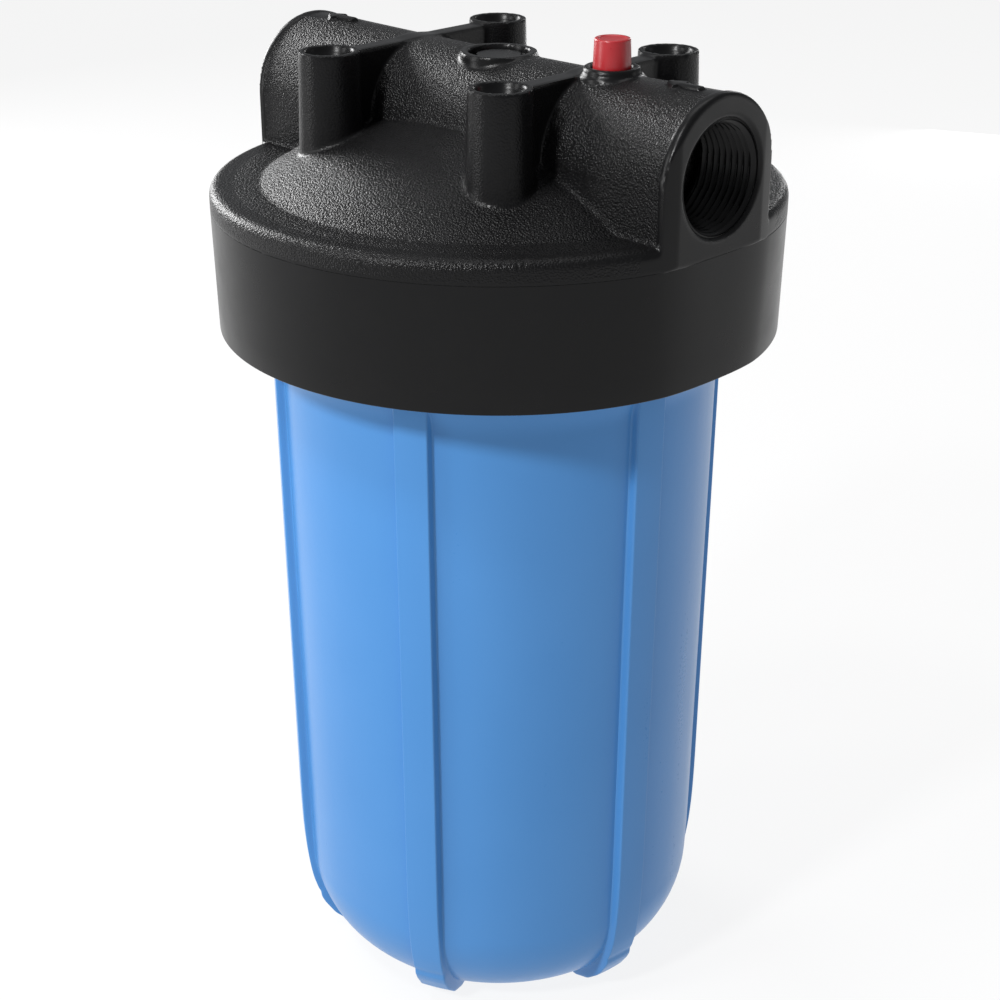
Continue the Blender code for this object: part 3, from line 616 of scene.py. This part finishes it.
# ------------------------------------------------------------------ sump
def build_sump():
    L = lambda z: 72.5 + (z - 50.0) * (2.4 / 200.0)
    depth = lambda z: 2.75 * sstep((236.6 - z) / 16.5) + 0.35 * np.clip((214 - z) / 178.0, 0, 1)
    phase = math.radians(-6.7)
    # Outside, from the bottom centre up to the band under the neck.
    bottom = [(2.0, 3.9), (8.0, 3.85), (11.0, 3.5), (12.5, 3.1), (20.0, 3.05), (30.0, 3.03), (38.0, 3.03), (41.0, 3.05)]
    z_top = 62.0
    rp = lambda z: L(z) - depth(z)
    dome = [(41.0, 3.05), (46.0, 3.05)] + [(r, z) for r, z in ellipse((37.4, 35.5), (31.5, 35.5), -68, -4, 30)]
    dome += smooth_curve([(68.93, 36.0), (69.25, 44.0), (rp(53.0) - 0.03, 53.0), (rp(z_top), z_top)], 5)[1:]
    foot = fillet([(41.0, 3.05), (42.6, 2.6), (43.6, 0.0), (50.6, 0.0), (57.0, 2.3), (62.4, 6.9), (65.9, 12.0), (67.15, 14.6),
                   (67.35, 16.8), (68.25, 18.6)], [0, 0.5, 0.7, 3.0, 6.0, 8.0, 5.0, 1.2, 1.0, 0], n=6)
    rib = foot + smooth_curve([(68.25, 18.6), (69.9, 24.5), (71.2, 33.0), (72.05, 43.0), (72.45, 53.0), (L(z_top), z_top)], 8)[1:]
    N = 96
    pan, rb = resample(dome, N), resample(rib, N)
    # Denser spacing of the rows from z 213 to 238, where the panel recess fades in under the neck.
    zs_mid = np.concatenate([np.arange(z_top + 4.5, 212.0, 4.5), np.arange(213.0, 238.0, 1.25)])
    panel_rows = [(r, z) for r, z in bottom[:-1]] + [tuple(v) for v in pan] + [(rp(z), z) for z in zs_mid]
    rib_rows = [(r, z) for r, z in bottom[:-1]] + [tuple(v) for v in rb] + [(L(z), z) for z in zs_mid]
    top_z = zs_mid[-1]
    neck = fillet([(L(top_z), top_z), (L(238.4), 238.4), (78.0, 238.9), (78.0, 240.2)], [0, 1.0, 0.6, 0], n=4)[1:]
    zs = np.arange(240.7, 269.6, 0.42)
    neck += [(78.0, z) for z in zs]
    neck += fillet([(78.0, 269.6), (78.0, 270.6), (74.7, 270.6), (74.7, 267.4), (69.9, 267.4), (69.9, 270.6), (67.2, 270.6),
                    (67.2, 268.0)], [0, 0.8, 0.3, 0.3, 0.3, 0.3, 0.8, 0], n=3)[1:]
    wall = [(67.2 + (64.3 - 67.2) * t, 268.0 + (28.0 - 268.0) * t) for t in np.linspace(0, 1, 22)[1:]]
    corner = ellipse((40.0, 28.0), (24.3, 20.0), 0, -90, 22)[1:]
    floor = fillet([(40.0, 8.0), (20.8, 8.0), (19.7, 11.7), (18.7, 11.7), (17.6, 8.0), (12.6, 8.0), (12.6, 24.0), (0.8, 24.0)],
                   [0, 0.8, 0.3, 0.3, 0.8, 1.0, 2.5, 0], n=4)[1:]
    common = neck + wall + corner + floor
    panel_rows += common
    rib_rows += common
    A, B = np.array(panel_rows), np.array(rib_rows)
    rows = len(A)
    # Columns: dense over each rib's edges, even across the panels.
    half = [0.0, 2.4, 4.2, 4.85, 5.1, 5.28, 5.45, 5.62, 5.8, 5.98, 6.18, 6.45, 7.1, 9.0]
    d = np.array([-v for v in half[:0:-1]] + half)
    panel_n = 13
    ref = np.maximum(np.where(np.arange(rows) < len(bottom) - 1 + N + len(zs_mid), A[:, 0], 70.0), 36.0)
    theta, blend = [], []
    edge = 1.0 - sstep((np.abs(d) - 5.02) / 1.3)
    for k in range(6):
        centre = phase + k * TAU / 6
        near = centre + d[None, :] / ref[:, None]
        theta.append(near)
        blend.append(np.repeat(edge[None, :], rows, 0))
        start, end = near[:, -1], centre + TAU / 6 - 9.0 / ref
        f = (np.arange(1, panel_n + 1) / (panel_n + 1))[None, :]
        theta.append(start[:, None] + (end - start)[:, None] * f)
        blend.append(np.zeros((rows, panel_n)))
    T, W = np.concatenate(theta, 1), np.concatenate(blend, 1)
    R = A[:, :1] + (B[:, :1] - A[:, :1]) * W
    Z = A[:, 1:] + (B[:, 1:] - A[:, 1:]) * W
    # Thread on the neck.
    neck_rows = (np.abs(A[:, 0] - 78.0) < 1e-6) & (A[:, 1] > 240.4) & (A[:, 1] < 269.7)
    ridge = helix_height(T, Z, 243.0 + 8.0 * 0.0, 2.8, 0.0, 2.1, 1.1, 3.0)
    R = R + np.where(neck_rows[:, None], ridge, 0.0)
    P = np.stack([R * np.cos(T), R * np.sin(T), Z], -1)
    obj = grid("sump_shell", P, True, True, smooth_deg=50.0)
    return dress(obj, SUMP_MAT, "sump", "sump_blue", "sump")


# ------------------------------------------------------------------ head
OUTER = None


def head_profile():
    dome = smooth_curve([(0.0, 303.4), (14.0, 302.8), (28.0, 301.0), (42.0, 297.8), (54.0, 293.7), (64.0, 289.0), (72.0, 284.5)], 6)
    rim = fillet([(72.0, 284.5), (75.8, 282.2), (85.0, 282.25), (91.91, 282.25), (91.91, COLLAR_EDGE_Z), (91.0, 236.1), (0.0, 236.1)],
                 [0, 1.6, 0, 6.4, 0.0, 0.5, 0], n=10)[1:]
    return dome + rim


def collar_radius(theta, radius, r=2.0):
    """Radius of the collar at an angle, with the flat at each port, rounded at its ends."""
    c = np.abs(np.cos(theta))
    lo, hi = np.full(theta.shape, 60.0), np.full(theta.shape, 93.0)
    for _ in range(40):
        mid = (lo + hi) / 2
        f = r_inter(mid - radius, mid * c - PORT_X, r)
        inside = f < 0
        lo, hi = np.where(inside, mid, lo), np.where(inside, hi, mid)
    return (lo + hi) / 2


def build_head():
    outer = TurnedField(head_profile(), 96.0, 225.0, 330.0)
    cavity = TurnedField([(0.0, 295.0), (14.0, 294.6), (26.0, 293.0), (45.0, 288.0), (63.0, 278.5), (66.0, 272.0), (66.0, 240.0), (0.0, 240.0)],
                         96.0, 225.0, 330.0)
    centre = TurnedField(fillet([(0.0, 320.9), (6.9, 320.9), (7.3, 319.4), (9.2, 319.4), (9.7, 321.9), (12.1, 321.9), (12.7, 300.0), (0.0, 300.0)],
                                [0, 0.6, 0.4, 0.4, 0.5, 0.6, 0, 0], n=4), 40.0, 290.0, 332.0)
    boss_solid = TurnedField(fillet([(0.0, 322.1), (9.53, 322.1), (10.5, 288.5), (10.6, 276.0), (0.0, 276.0)], [0, 0.55, 0, 0, 0], n=4),
                             40.0, 270.0, 332.0)
    boss_hole = TurnedField(fillet([(0.0, 330.0), (8.2, 330.0), (7.7, 322.1), (7.0, 320.2), (3.3, 315.6), (3.05, 297.1), (0.0, 297.1)],
                                   [0, 0, 0.35, 0.6, 0.5, 0.5, 0], n=4), 40.0, 270.0, 336.0)
    relief = TurnedField(fillet([(0.0, 324.0), (8.5, 324.0), (8.75, 321.9), (9.7, 321.6), (10.0, 310.0), (0.0, 310.0)],
                                [0, 0.8, 0.4, 0.6, 0, 0], n=4), 40.0, 296.0, 340.0)
    relief_hole = TurnedField(fillet([(0.0, 336.0), (7.3, 336.0), (7.1, 324.1), (6.2, 323.3), (6.2, 315.0), (2.4, 315.0), (2.4, 311.8), (4.9, 311.8),
                                      (4.9, 304.0), (0.0, 304.0)], [0, 0, 0.3, 0.3, 0.4, 0.2, 0.2, 0.2, 0, 0], n=3), 40.0, 296.0, 340.0)
    arrow = {}
    for side in (1, -1):
        tip = side * 74.0 - 6.5
        arrow[side] = [(tip, 0.0), (tip + 6, 4.4), (tip + 6, 1.7), (tip + 13.5, 1.7), (tip + 13.5, -1.7), (tip + 6, -1.7), (tip + 6, -4.4)]

    def field(x, y, z):
        x, y, z = np.asarray(x, np.float32), np.asarray(y, np.float32), np.asarray(z, np.float32)
        rho = np.sqrt(x * x + y * y)
        ax, ay = np.abs(x), np.abs(y)
        dz = z - PORT_Z
        flat = ax - PORT_X
        body = r_inter(outer(rho, z), flat, 2.0)
        arch = np.where(dz > 0, np.sqrt(y * y + dz * dz), ay) - (TUNNEL_R + 0.95 * (x / PORT_X) ** 2)
        # A plain band, a hair proud of the grain, rings the end of each port.
        arch = arch - 0.36 * sstep((ax - 86.3) / 0.4)
        arch = r_inter(arch, flat, 1.55)
        arch = r_inter(arch, COLLAR_EDGE_Z - z, 0.3)
        body = r_union(body, arch, 1.15)
        # Bosses with their webs, mirrored into one quarter.
        bx, by = ax - BOSS_X, ay - BOSS_Y
        rb = np.sqrt(bx * bx + by * by)
        web = r_inter(np.maximum(np.abs(bx) - 3.45, np.maximum(ay - BOSS_Y, 290.0 - z)), z - 321.3, 0.7)
        body = r_union(body, web, 1.1)
        near = (rb < 26) & (z > 280)
        if near.any():
            sub = body[near]
            sub = r_union(sub, boss_solid(rb[near], z[near]), 1.25)
            sub = r_inter(sub, -boss_hole(rb[near], z[near]), 0.15)
            body[near] = sub
        near = (rho < 24) & (z > 300)
        if near.any():
            body[near] = r_union(body[near], centre(rho[near], z[near]), 1.0)
        # The recess of the centre boss reaches below the tunnel's crown.
        near = (rho < 16) & (z > 312)
        if near.any():
            rr, zz = rho[near], z[near]
            cup = np.maximum(rr - 9.45, np.where(rr < 7.1, 320.9, 319.4) - zz)
            body[near] = r_inter(body[near], -cup, 0.35)
        rv = np.sqrt((x - RELIEF_X) ** 2 + y * y)
        near = (rv < 20) & (z > 298)
        if near.any():
            body[near] = r_union(body[near], relief(rv[near], z[near]), 0.9)
        near = (ax > 60) & (z > 318)
        if near.any():
            xs, ys, zs = x[near], y[near], z[near]
            top = np.sqrt(ys * ys + (zs - PORT_Z) ** 2) - (TUNNEL_R + 1.65)
            mark = np.minimum(polygon_distance(xs, ys, arrow[1]), polygon_distance(xs, ys, arrow[-1]))
            body[near] = r_union(body[near], r_inter(mark, top, 0.25), 0.2)
        # The chamber, with the outlet pipe and the post that cross it.
        body = r_inter(body, -cavity(rho, z), 0.9)
        pipe = np.maximum(np.sqrt(y * y + dz * dz) - 17.6, np.maximum(x - 2.0, -x - 72.0))
        post = np.maximum(rho - 22.0, z - 299.0)
        inner = r_union(pipe, post, 2.0)
        body = r_union(body, inner, 1.4)
        # Ports and passages.
        rp = np.sqrt(y * y + dz * dz)
        mouth = 17.25 + np.clip(ax - (PORT_X - 1.0), 0, 4) * 0.9
        bore = np.where(ax > PORT_X - 23.6, rp - mouth, 50.0)
        step = np.where(ax > PORT_X - 23.6, 50.0, 1.0)
        duct_in = np.maximum(rp - 13.5, 24.0 - x)
        duct_out = np.maximum(rp - 13.5, x)
        sock = np.maximum(rp - mouth, PORT_X - 23.6 - ax)
        hole = np.minimum(np.minimum(duct_in, duct_out), sock)
        riser = np.maximum(rho - 10.0, z - PORT_Z)
        hole = np.minimum(hole, riser)
        window = np.maximum(np.maximum(np.abs(x - 40.0) - 12.0, ay - 10.5), np.maximum(z - 294.0, 262.0 - z))
        hole = np.minimum(hole, window)
        body = r_inter(body, -hole, 0.3)
        near = (rv < 14) & (z > 302)
        if near.any():
            body[near] = r_inter(body[near], -relief_hole(rv[near], z[near]), 0.15)
        # Below the joint line the crown steps in and hides inside the collar's top.
        body = body + 0.3 * np.clip((SPLIT_Z - z) / 0.35, 0, 1)
        return np.maximum(body, SPLIT_Z - 1.6 - z)

    h = 0.8
    V, quads = surface_nets(field, (-91.2, -93.2, SPLIT_Z - 3.13), (91.2, 93.2, 326.0), h)
    V[:, 0] = np.clip(V[:, 0], -PORT_X + 0.005, PORT_X - 0.005)
    x, y, z = V.T
    rho = np.hypot(x, y)
    V[:, :2] *= np.minimum(1.0, 91.91 / np.maximum(rho, 1.0))[:, None]
    x, y, z = V.T
    rho = np.hypot(x, y)
    ax, ay = np.abs(x), np.abs(y)
    rb = np.hypot(ax - BOSS_X, ay - BOSS_Y)
    rv = np.hypot(x - RELIEF_X, y)
    arch = np.where(z > PORT_Z, np.hypot(y, z - PORT_Z), ay)
    # Where the moulding is grained: everywhere outside but faces, tops, webs and rims.
    grain = sstep((z - COLLAR_EDGE_Z) / 1.0) * sstep((86.6 - ax) / 0.5)
    grain *= sstep((321.6 - z) / 0.8 + np.where(rho > 14, 0.0, -1.0) + np.where((rb > 11) & (rv > 11) & (np.abs(ax - BOSS_X) > 4.5), 1.0, 0.0))
    grain *= np.where(rho < 14, sstep((rho - 12.6) / 1.0), 1.0)
    web = (np.abs(ax - BOSS_X) < 4.2) & (ay > 6) & (ay < BOSS_Y - 8) & (z > 298)
    off_tunnel = arch > TUNNEL_R + 0.6
    grain = np.where(web & off_tunnel, grain * 0.12, grain)
    grain = np.where(rb < 11.0, grain * np.where(rb > 9.2, 0.3, 0.0), grain)
    grain = np.where((rv < 11.0), grain * sstep((rv - 9.6) / 1.0), grain)
    grain = np.where((rho > 84.5) & (z < 282.3), grain * 0.6, grain * 0.95)
    below = z < (303.4 - 0.0042 * rho ** 2) - 6.0
    grain = np.where(below & (rho < 70) & (arch > 10), 0.0, grain)
    top = make_mesh("head_crown", V, quads, None, 42.0, {"grain": grain})
    dress(top, HEAD_MAT, "head", "head_black", "head")

    # Collar with the female thread and the sealing face.
    cols = 288
    th = (np.arange(cols) + 0.5) * TAU / cols
    outer_pts = [(83.4, 236.1), (84.5, 236.1), (90.0, 236.1)] + fillet([(90.0, 236.1), (91.01, 236.1), (91.2, 244.0)], [0, 0.7, 0], n=5)[1:]
    outer_pts += [(91.01 + (91.91 - 91.01) * (z - 236.1) / (COLLAR_EDGE_Z - 236.1), z) for z in np.linspace(247.0, SPLIT_Z, 9)]
    n_outer = len(outer_pts)
    inner_pts = [(80.0, SPLIT_Z), (66.2, SPLIT_Z)] + fillet([(64.6, SPLIT_Z), (66.0, 272.0), (81.8, 272.0), (81.8, 270.0)], [0, 0.4, 0.9, 0], n=4)[1:]
    inner_pts += [(81.8, z) for z in np.arange(269.6, 238.4, -0.5)]
    inner_pts += [(81.8, 237.9), (82.4, 237.0), (83.0, 236.35)]
    pts = np.array(outer_pts + inner_pts)
    R = np.repeat(pts[:, :1], cols, 1)
    Z = np.repeat(pts[:, 1:], cols, 1)
    T = np.repeat(th[None, :], len(pts), 0)
    for i in range(2, n_outer):
        R[i] = collar_radius(th, pts[i, 0])
    bore = (np.abs(pts[:, 0] - 81.8) < 1e-6) & (pts[:, 1] < 269.8) & (pts[:, 1] > 238.0)
    ridge = helix_height(T, Z, 239.0, 3.35, 0.0, 2.1, 1.1, 3.0)
    R = R - np.where(bore[:, None], ridge, 0.0)
    P = np.stack([R * np.cos(T), R * np.sin(T), Z], -1)
    collar = grid("head_collar", P, loop_rows=True, smooth_deg=38.0, attrs={"grain": np.zeros(P.shape[:2])})
    dress(collar, HEAD_MAT, "head", "head_black", "head")

    # Outlet post with its nose and knife edge.
    loop = fillet([(10.0, 250.0), (11.8, 250.0), (13.1, 252.2), (13.1, 263.0), (17.2, 263.0), (18.8, 260.3), (19.6, 260.3), (22.0, 263.6),
                   (22.0, 276.5), (10.0, 276.5)], [0.3, 0.4, 0.8, 0.8, 0.5, 0.2, 0.2, 0.8, 0, 0], closed=True, n=3)
    post = revolve("head_outlet_post", loop, 72, True)
    layer = post.data.attributes.new("grain", "FLOAT", "POINT")
    layer.data.foreach_set("value", np.zeros(len(post.data.vertices), np.float32))
    dress(post, HEAD_MAT, "head", "head_black", "head")

    # The tapered pipe thread of each port, as a sleeve in the socket.
    pitch = 2.209
    for side, tag in ((1, "inlet"), (-1, "outlet")):
        cols_t = 96
        tt = np.arange(cols_t) * TAU / cols_t
        depth = np.linspace(0.7, 23.0, 92)
        inner = []
        for dpt in depth:
            wave = np.mod(dpt / pitch - side * tt / TAU, 1.0)
            tri = np.abs(wave - 0.5) * 2.0
            tri = np.clip(tri * 1.18 - 0.09, 0, 1)
            root = 16.75 - dpt / 32.0
            start = sstep((dpt - 0.7) / 1.6)
            end = sstep((22.6 - dpt) / 2.2)
            inner.append(root - 1.15 * tri * start * end + 0.25 * (1 - start))
        inner = np.array(inner)
        X = PORT_X - np.repeat(depth[:, None], cols_t, 1)
        rows_r = np.concatenate([inner, np.full((1, cols_t), 17.5), np.full((1, cols_t), 17.5)])
        rows_x = np.concatenate([X, np.full((1, cols_t), PORT_X - 23.2), np.full((1, cols_t), PORT_X - 0.9)])
        Pt = np.stack([side * rows_x, rows_r * np.cos(tt) * 1.0, PORT_Z + rows_r * np.sin(tt)], -1)
        if side < 0:
            Pt = Pt[::-1]
        Pt = Pt[::-1] if False else Pt
        sleeve = grid(tag + "_port_thread", Pt, loop_rows=True, smooth_deg=60.0, attrs={"grain": np.zeros(Pt.shape[:2])})
        bm = bmesh.new()
        bm.from_mesh(sleeve.data)
        if bm.calc_volume(signed=True) < 0:
            bmesh.ops.reverse_faces(bm, faces=bm.faces)
            bm.to_mesh(sleeve.data)
        bm.free()
        dress(sleeve, HEAD_MAT, "head", "head_black", "head")


# ------------------------------------------------------------------ small turned pieces
def build_relief():
    x = RELIEF_X
    body = "relief_button"
    pts = fillet([(0.0, 329.0), (1.8, 329.0), (1.8, 326.0), (4.4, 326.0), (4.4, 318.2), (5.75, 318.2), (5.72, 324.2), (5.42, 332.28), (4.3, 332.28), (3.8, 332.0),
                  (0.0, 331.7)], [0, 0.1, 0.1, 0.4, 0.25, 0.25, 0.6, 0.75, 0.4, 1.0, 0], n=5)
    dress(revolve("button_cap", pts, 72, smooth_deg=45, at=(x, 0)), RED_MAT, body, "button_red", "relief_button")
    pts = fillet([(0.0, 306.4), (3.4, 306.4), (3.4, 308.2), (1.5, 308.2), (1.5, 328.2), (1.1, 328.6), (0.0, 328.6)], [0, 0.5, 0.2, 0.1, 0.2, 0.1, 0], n=4)
    dress(revolve("valve_stem", pts, 40, at=(x, 0)), STEEL_MAT, body, "stainless_steel", "relief_stem")
    pts = fillet([(1.8, 308.5), (4.0, 308.5), (4.0, 309.3), (1.8, 309.3)], 0.15, True, 3)
    dress(revolve("valve_washer", pts, 40, True, at=(x, 0)), STEEL_MAT, body, "stainless_steel", "relief_seal_washer")
    circle = [(3.05 + 0.95 * math.cos(a), 310.55 + 0.95 * math.sin(a)) for a in np.linspace(0, TAU, 21)[:-1]]
    dress(revolve("valve_seal", circle, 48, True, 60, at=(x, 0)), RUBBER_MAT, body, "seal_rubber", "relief_seal")
    # Spring as a round-wire coil with flattened end turns.
    curve = bpy.data.curves.new("valve_spring", "CURVE")
    curve.dimensions = "3D"
    curve.bevel_depth = 0.34 * MM
    curve.bevel_resolution = 3
    curve.use_fill_caps = True
    spline = curve.splines.new("POLY")
    per, turns = 28, 5.0
    total = int(per * turns)
    spline.points.add(total)
    for i in range(total + 1):
        t = i / per
        f = np.clip((t - 0.75) / (turns - 1.5), 0, 1)
        z = 315.75 + min(t, 0.75) * 0.5 + f * (9.1) + max(0.0, t - (turns - 0.75)) * 0.5
        spline.points[i].co = ((x + 3.1 * math.cos(TAU * t)) * MM, 3.1 * math.sin(TAU * t) * MM, z * MM, 1)
    temp = bpy.data.objects.new("valve_spring_curve", curve)
    bpy.context.scene.collection.objects.link(temp)
    bpy.context.view_layer.update()
    mesh = bpy.data.meshes.new_from_object(temp.evaluated_get(bpy.context.evaluated_depsgraph_get()))
    bpy.data.objects.remove(temp)
    bm = bmesh.new()
    bm.from_mesh(mesh)
    bmesh.ops.remove_doubles(bm, verts=bm.verts, dist=1e-6)
    bm.to_mesh(mesh)
    bm.free()
    mesh.shade_smooth()
    obj = bpy.data.objects.new("valve_spring", mesh)
    bpy.context.scene.collection.objects.link(obj)
    dress(obj, STEEL_MAT, "head", "stainless_steel", "relief_spring")
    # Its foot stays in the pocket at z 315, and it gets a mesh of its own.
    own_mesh(obj)


def build_cartridge():
    body = "cartridge"
    circle = [(72.3 + 2.0 * math.cos(a), 269.7 + 2.0 * math.sin(a)) for a in np.linspace(0, TAU, 25)[:-1]]
    dress(revolve("rim_o_ring", circle, 160, True, 60), RUBBER_MAT, "seal_ring", "seal_rubber", "sump_o_ring")
    for name, node, z0 in (("gasket_low", "cartridge_bottom_gasket", 12.0), ("gasket_top", "cartridge_top_gasket", 257.0)):
        pts = fillet([(14.6, z0), (25.0, z0), (25.0, z0 + 3), (14.6, z0 + 3)], 0.5, True, 3)
        dress(revolve(name, pts, 96, True), RUBBER_MAT, body, "seal_rubber", node)
    # End caps with a dished face and a rolled skirt.
    up = fillet([(14.4, 249.7), (55.0, 249.7), (55.2, 244.7), (57.0, 244.7), (57.0, 255.6), (55.9, 256.7), (52.5, 256.7), (51.0, 255.5), (30.0, 255.5),
                 (28.5, 256.7), (14.4, 256.7)], [0.3, 1.0, 0.6, 0.6, 1.0, 1.0, 0.8, 0.8, 0.8, 0.8, 0.5], True, 4)
    dress(revolve("end_cap_top", up, 128, True), CAP_MAT, body, "cartridge_cap", "cartridge_top_cap")
    low = [(r, 272.0 - z) for r, z in up][::-1]
    dress(revolve("end_cap_low", low, 128, True), CAP_MAT, body, "cartridge_cap", "cartridge_bottom_cap")
    # Pleated media: one folded sheet with round folds.
    n_p, z0, z1 = 46, 22.7, 249.3
    ro, to, ri, ti = 53.05, 1.2, 22.5, 0.62
    centre = []
    step = TAU / n_p
    for k in range(n_p):
        a = k * step
        u, v = np.array([math.cos(a), math.sin(a)]), np.array([-math.sin(a), math.cos(a)])
        for w in np.radians(np.linspace(-82, 82, 7)):
            centre.append(u * (ro + to * math.cos(w)) + v * to * math.sin(w))
        b = a + step / 2
        u2, v2 = np.array([math.cos(b), math.sin(b)]), np.array([-math.sin(b), math.cos(b)])
        inner_arc = [u2 * (ri - ti * math.cos(w)) + v2 * ti * math.sin(w) for w in np.radians(np.linspace(-80, 80, 5))]
        a_end, b_start = centre[-1], inner_arc[0]
        for f in (0.33, 0.66):
            centre.append(a_end * (1 - f) + b_start * f)
        centre += inner_arc
        c = a + step
        u3, v3 = np.array([math.cos(c), math.sin(c)]), np.array([-math.sin(c), math.cos(c)])
        nxt = u3 * (ro + to * math.cos(math.radians(-82))) + v3 * to * math.sin(math.radians(-82))
        for f in (0.33, 0.66):
            centre.append(inner_arc[-1] * (1 - f) + nxt * f)
    C = np.array(centre)
    tangent = np.roll(C, -1, 0) - np.roll(C, 1, 0)
    tangent /= np.linalg.norm(tangent, axis=1)[:, None]
    nrm = np.stack([tangent[:, 1], -tangent[:, 0]], -1)
    rad = np.linalg.norm(C, axis=1)
    zs = np.concatenate([[z0], np.linspace(z0 + 1.5, z1 - 1.5, 15), [z1]])
    out_rows, fold_shade_rows = [], []
    rng = np.random.default_rng(7)
    wob = rng.uniform(-1, 1, (n_p, 3))
    per_p = len(C) // n_p
    which = np.repeat(np.arange(n_p), per_p)
    for side, order in ((0.38, zs), (-0.38, zs[::-1])):
        for z in order:
            s = (z - z0) / (z1 - z0)
            amp = 0.35 * math.sin(math.pi * s)
            shift = amp * (wob[which, 0] * np.sin(TAU * 1.5 * s + wob[which, 1] * 3) + 0.4 * wob[which, 2])
            rot = shift / rad * np.clip((rad - 26) / 22, 0, 1)
            Q = C + nrm * side
            ca, sa = np.cos(rot), np.sin(rot)
            out_rows.append(np.stack([Q[:, 0] * ca - Q[:, 1] * sa, Q[:, 0] * sa + Q[:, 1] * ca, np.full(len(C), z)], -1))
            # Painted shade in the folds: the weight grows towards the inner fold tips.
            fold_shade_rows.append(np.clip((53.5 - rad) / 26.0, 0, 1))
    P = np.array(out_rows)
    pleats = grid("pleat_pack", P, loop_rows=True, smooth_deg=50.0, attrs={"depth": np.array(fold_shade_rows)})
    dress(pleats, MEDIA_MAT, body, "pleated_media", "cartridge_pleats")
    for name, node in (("strap_low", "cartridge_band_lower"), ("strap_top", "cartridge_band_upper")):
        lo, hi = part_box(node)
        a, b = lo.z / MM, hi.z / MM
        pts = fillet([(54.8, a), (55.45, a), (55.7, (a + b) / 2), (55.45, b), (54.8, b)], [0.1, 0.25, 6, 0.25, 0.1], True, 3)
        dress(revolve(name, pts, 144, True, 50), BAND_MAT, body, "cartridge_band", node)
    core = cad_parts["cartridge_core"]
    core.data.materials.clear()
    core.data.materials.append(CORE_MAT)


# ------------------------------------------------------------------ floor, light and camera
def build_stage():
    bm = bmesh.new()
    bmesh.ops.create_grid(bm, x_segments=2, y_segments=2, size=9.0)
    mesh = bpy.data.meshes.new("floor")
    bm.to_mesh(mesh)
    bm.free()
    floor = bpy.data.objects.new("floor", mesh)
    bpy.context.scene.collection.objects.link(floor)
    n = Nodes("floor_pale")
    tone = n.noise(3.0, 2.0)
    n.shader.inputs["Emission Color"].default_value = (1.0, 1.0, 1.0, 1.0)
    n.shader.inputs["Emission Strength"].default_value = 0.87
    floor.data.materials.append(n.set(color=n.mix(tone, (0.095, 0.095, 0.095), (0.105, 0.105, 0.105)), rough=0.9, spec=0.0))

    def area(name, loc, target, size, power, colour=(1, 1, 1)):
        data = bpy.data.lights.new(name, "AREA")
        data.shape = "RECTANGLE"
        data.size, data.size_y = size
        data.energy = power
        data.color = colour
        obj = bpy.data.objects.new(name, data)
        bpy.context.scene.collection.objects.link(obj)
        obj.location = loc
        obj.visible_camera = False
        obj.rotation_euler = (Vector(target) - Vector(loc)).to_track_quat("-Z", "Y").to_euler()
        return obj

    a = math.radians(44.339)
    right = Vector((math.cos(a), math.sin(a), 0))
    back = Vector((-math.sin(a), math.cos(a), 0))
    up = Vector((0, 0, 1))
    aim = Vector((0, 0, 0.17))

    def place(r, b, u):
        return right * r + back * b + up * u

    area("panel_back_left", place(-0.85, 0.95, 0.60), aim + up * 0.1, (0.55, 0.70), 16.0)
    area("panel_left", place(-1.20, -0.22, 0.50), aim, (0.22, 0.85), 4.8)
    area("spot_left", place(-0.56, -0.34, 1.30), aim + up * 0.1, (0.20, 0.20), 5.5)
    area("spot_front", place(-0.70, -0.80, 1.02), aim + up * 0.1, (0.15, 0.15), 13.0)
    area("top_soft", place(-0.05, 0.45, 1.45), aim, (0.9, 0.6), 3.0)
    area("strip_right", place(1.20, 0.10, 0.35), aim, (0.12, 0.80), 0.7)
    area("rim_right", place(0.42, 1.15, 0.36), aim, (0.07, 0.9), 1.3)
    world = bpy.data.worlds.new("studio")
    bpy.context.scene.world = world
    world.use_nodes = True
    bg = world.node_tree.nodes["Background"]
    bg.inputs[0].default_value = (0.95, 0.97, 1.0, 1.0)
    bg.inputs[1].default_value = 0.28

    cam = bpy.data.cameras.new("camera")
    cam.lens = 1948.27 / 1000.0 * 36.0
    cam.sensor_width = 36.0
    cam.shift_x = 0.00098
    cam.shift_y = 0.00326
    cam.clip_start = 0.05
    cam.clip_end = 50
    obj = bpy.data.objects.new("camera", cam)
    bpy.context.scene.collection.objects.link(obj)
    obj.location = (0.4259, -0.4358, 0.44604)
    obj.rotation_euler = (math.radians(90.0 - 24.604), 0.0, math.radians(44.339))
    bpy.context.scene.camera = obj
    bpy.context.scene.view_settings.view_transform = "Standard"
    bpy.context.scene.view_settings.look = "None"


build_stage()
build_sump()
build_head()
build_relief()
build_cartridge()
bpy.context.view_layer.update()
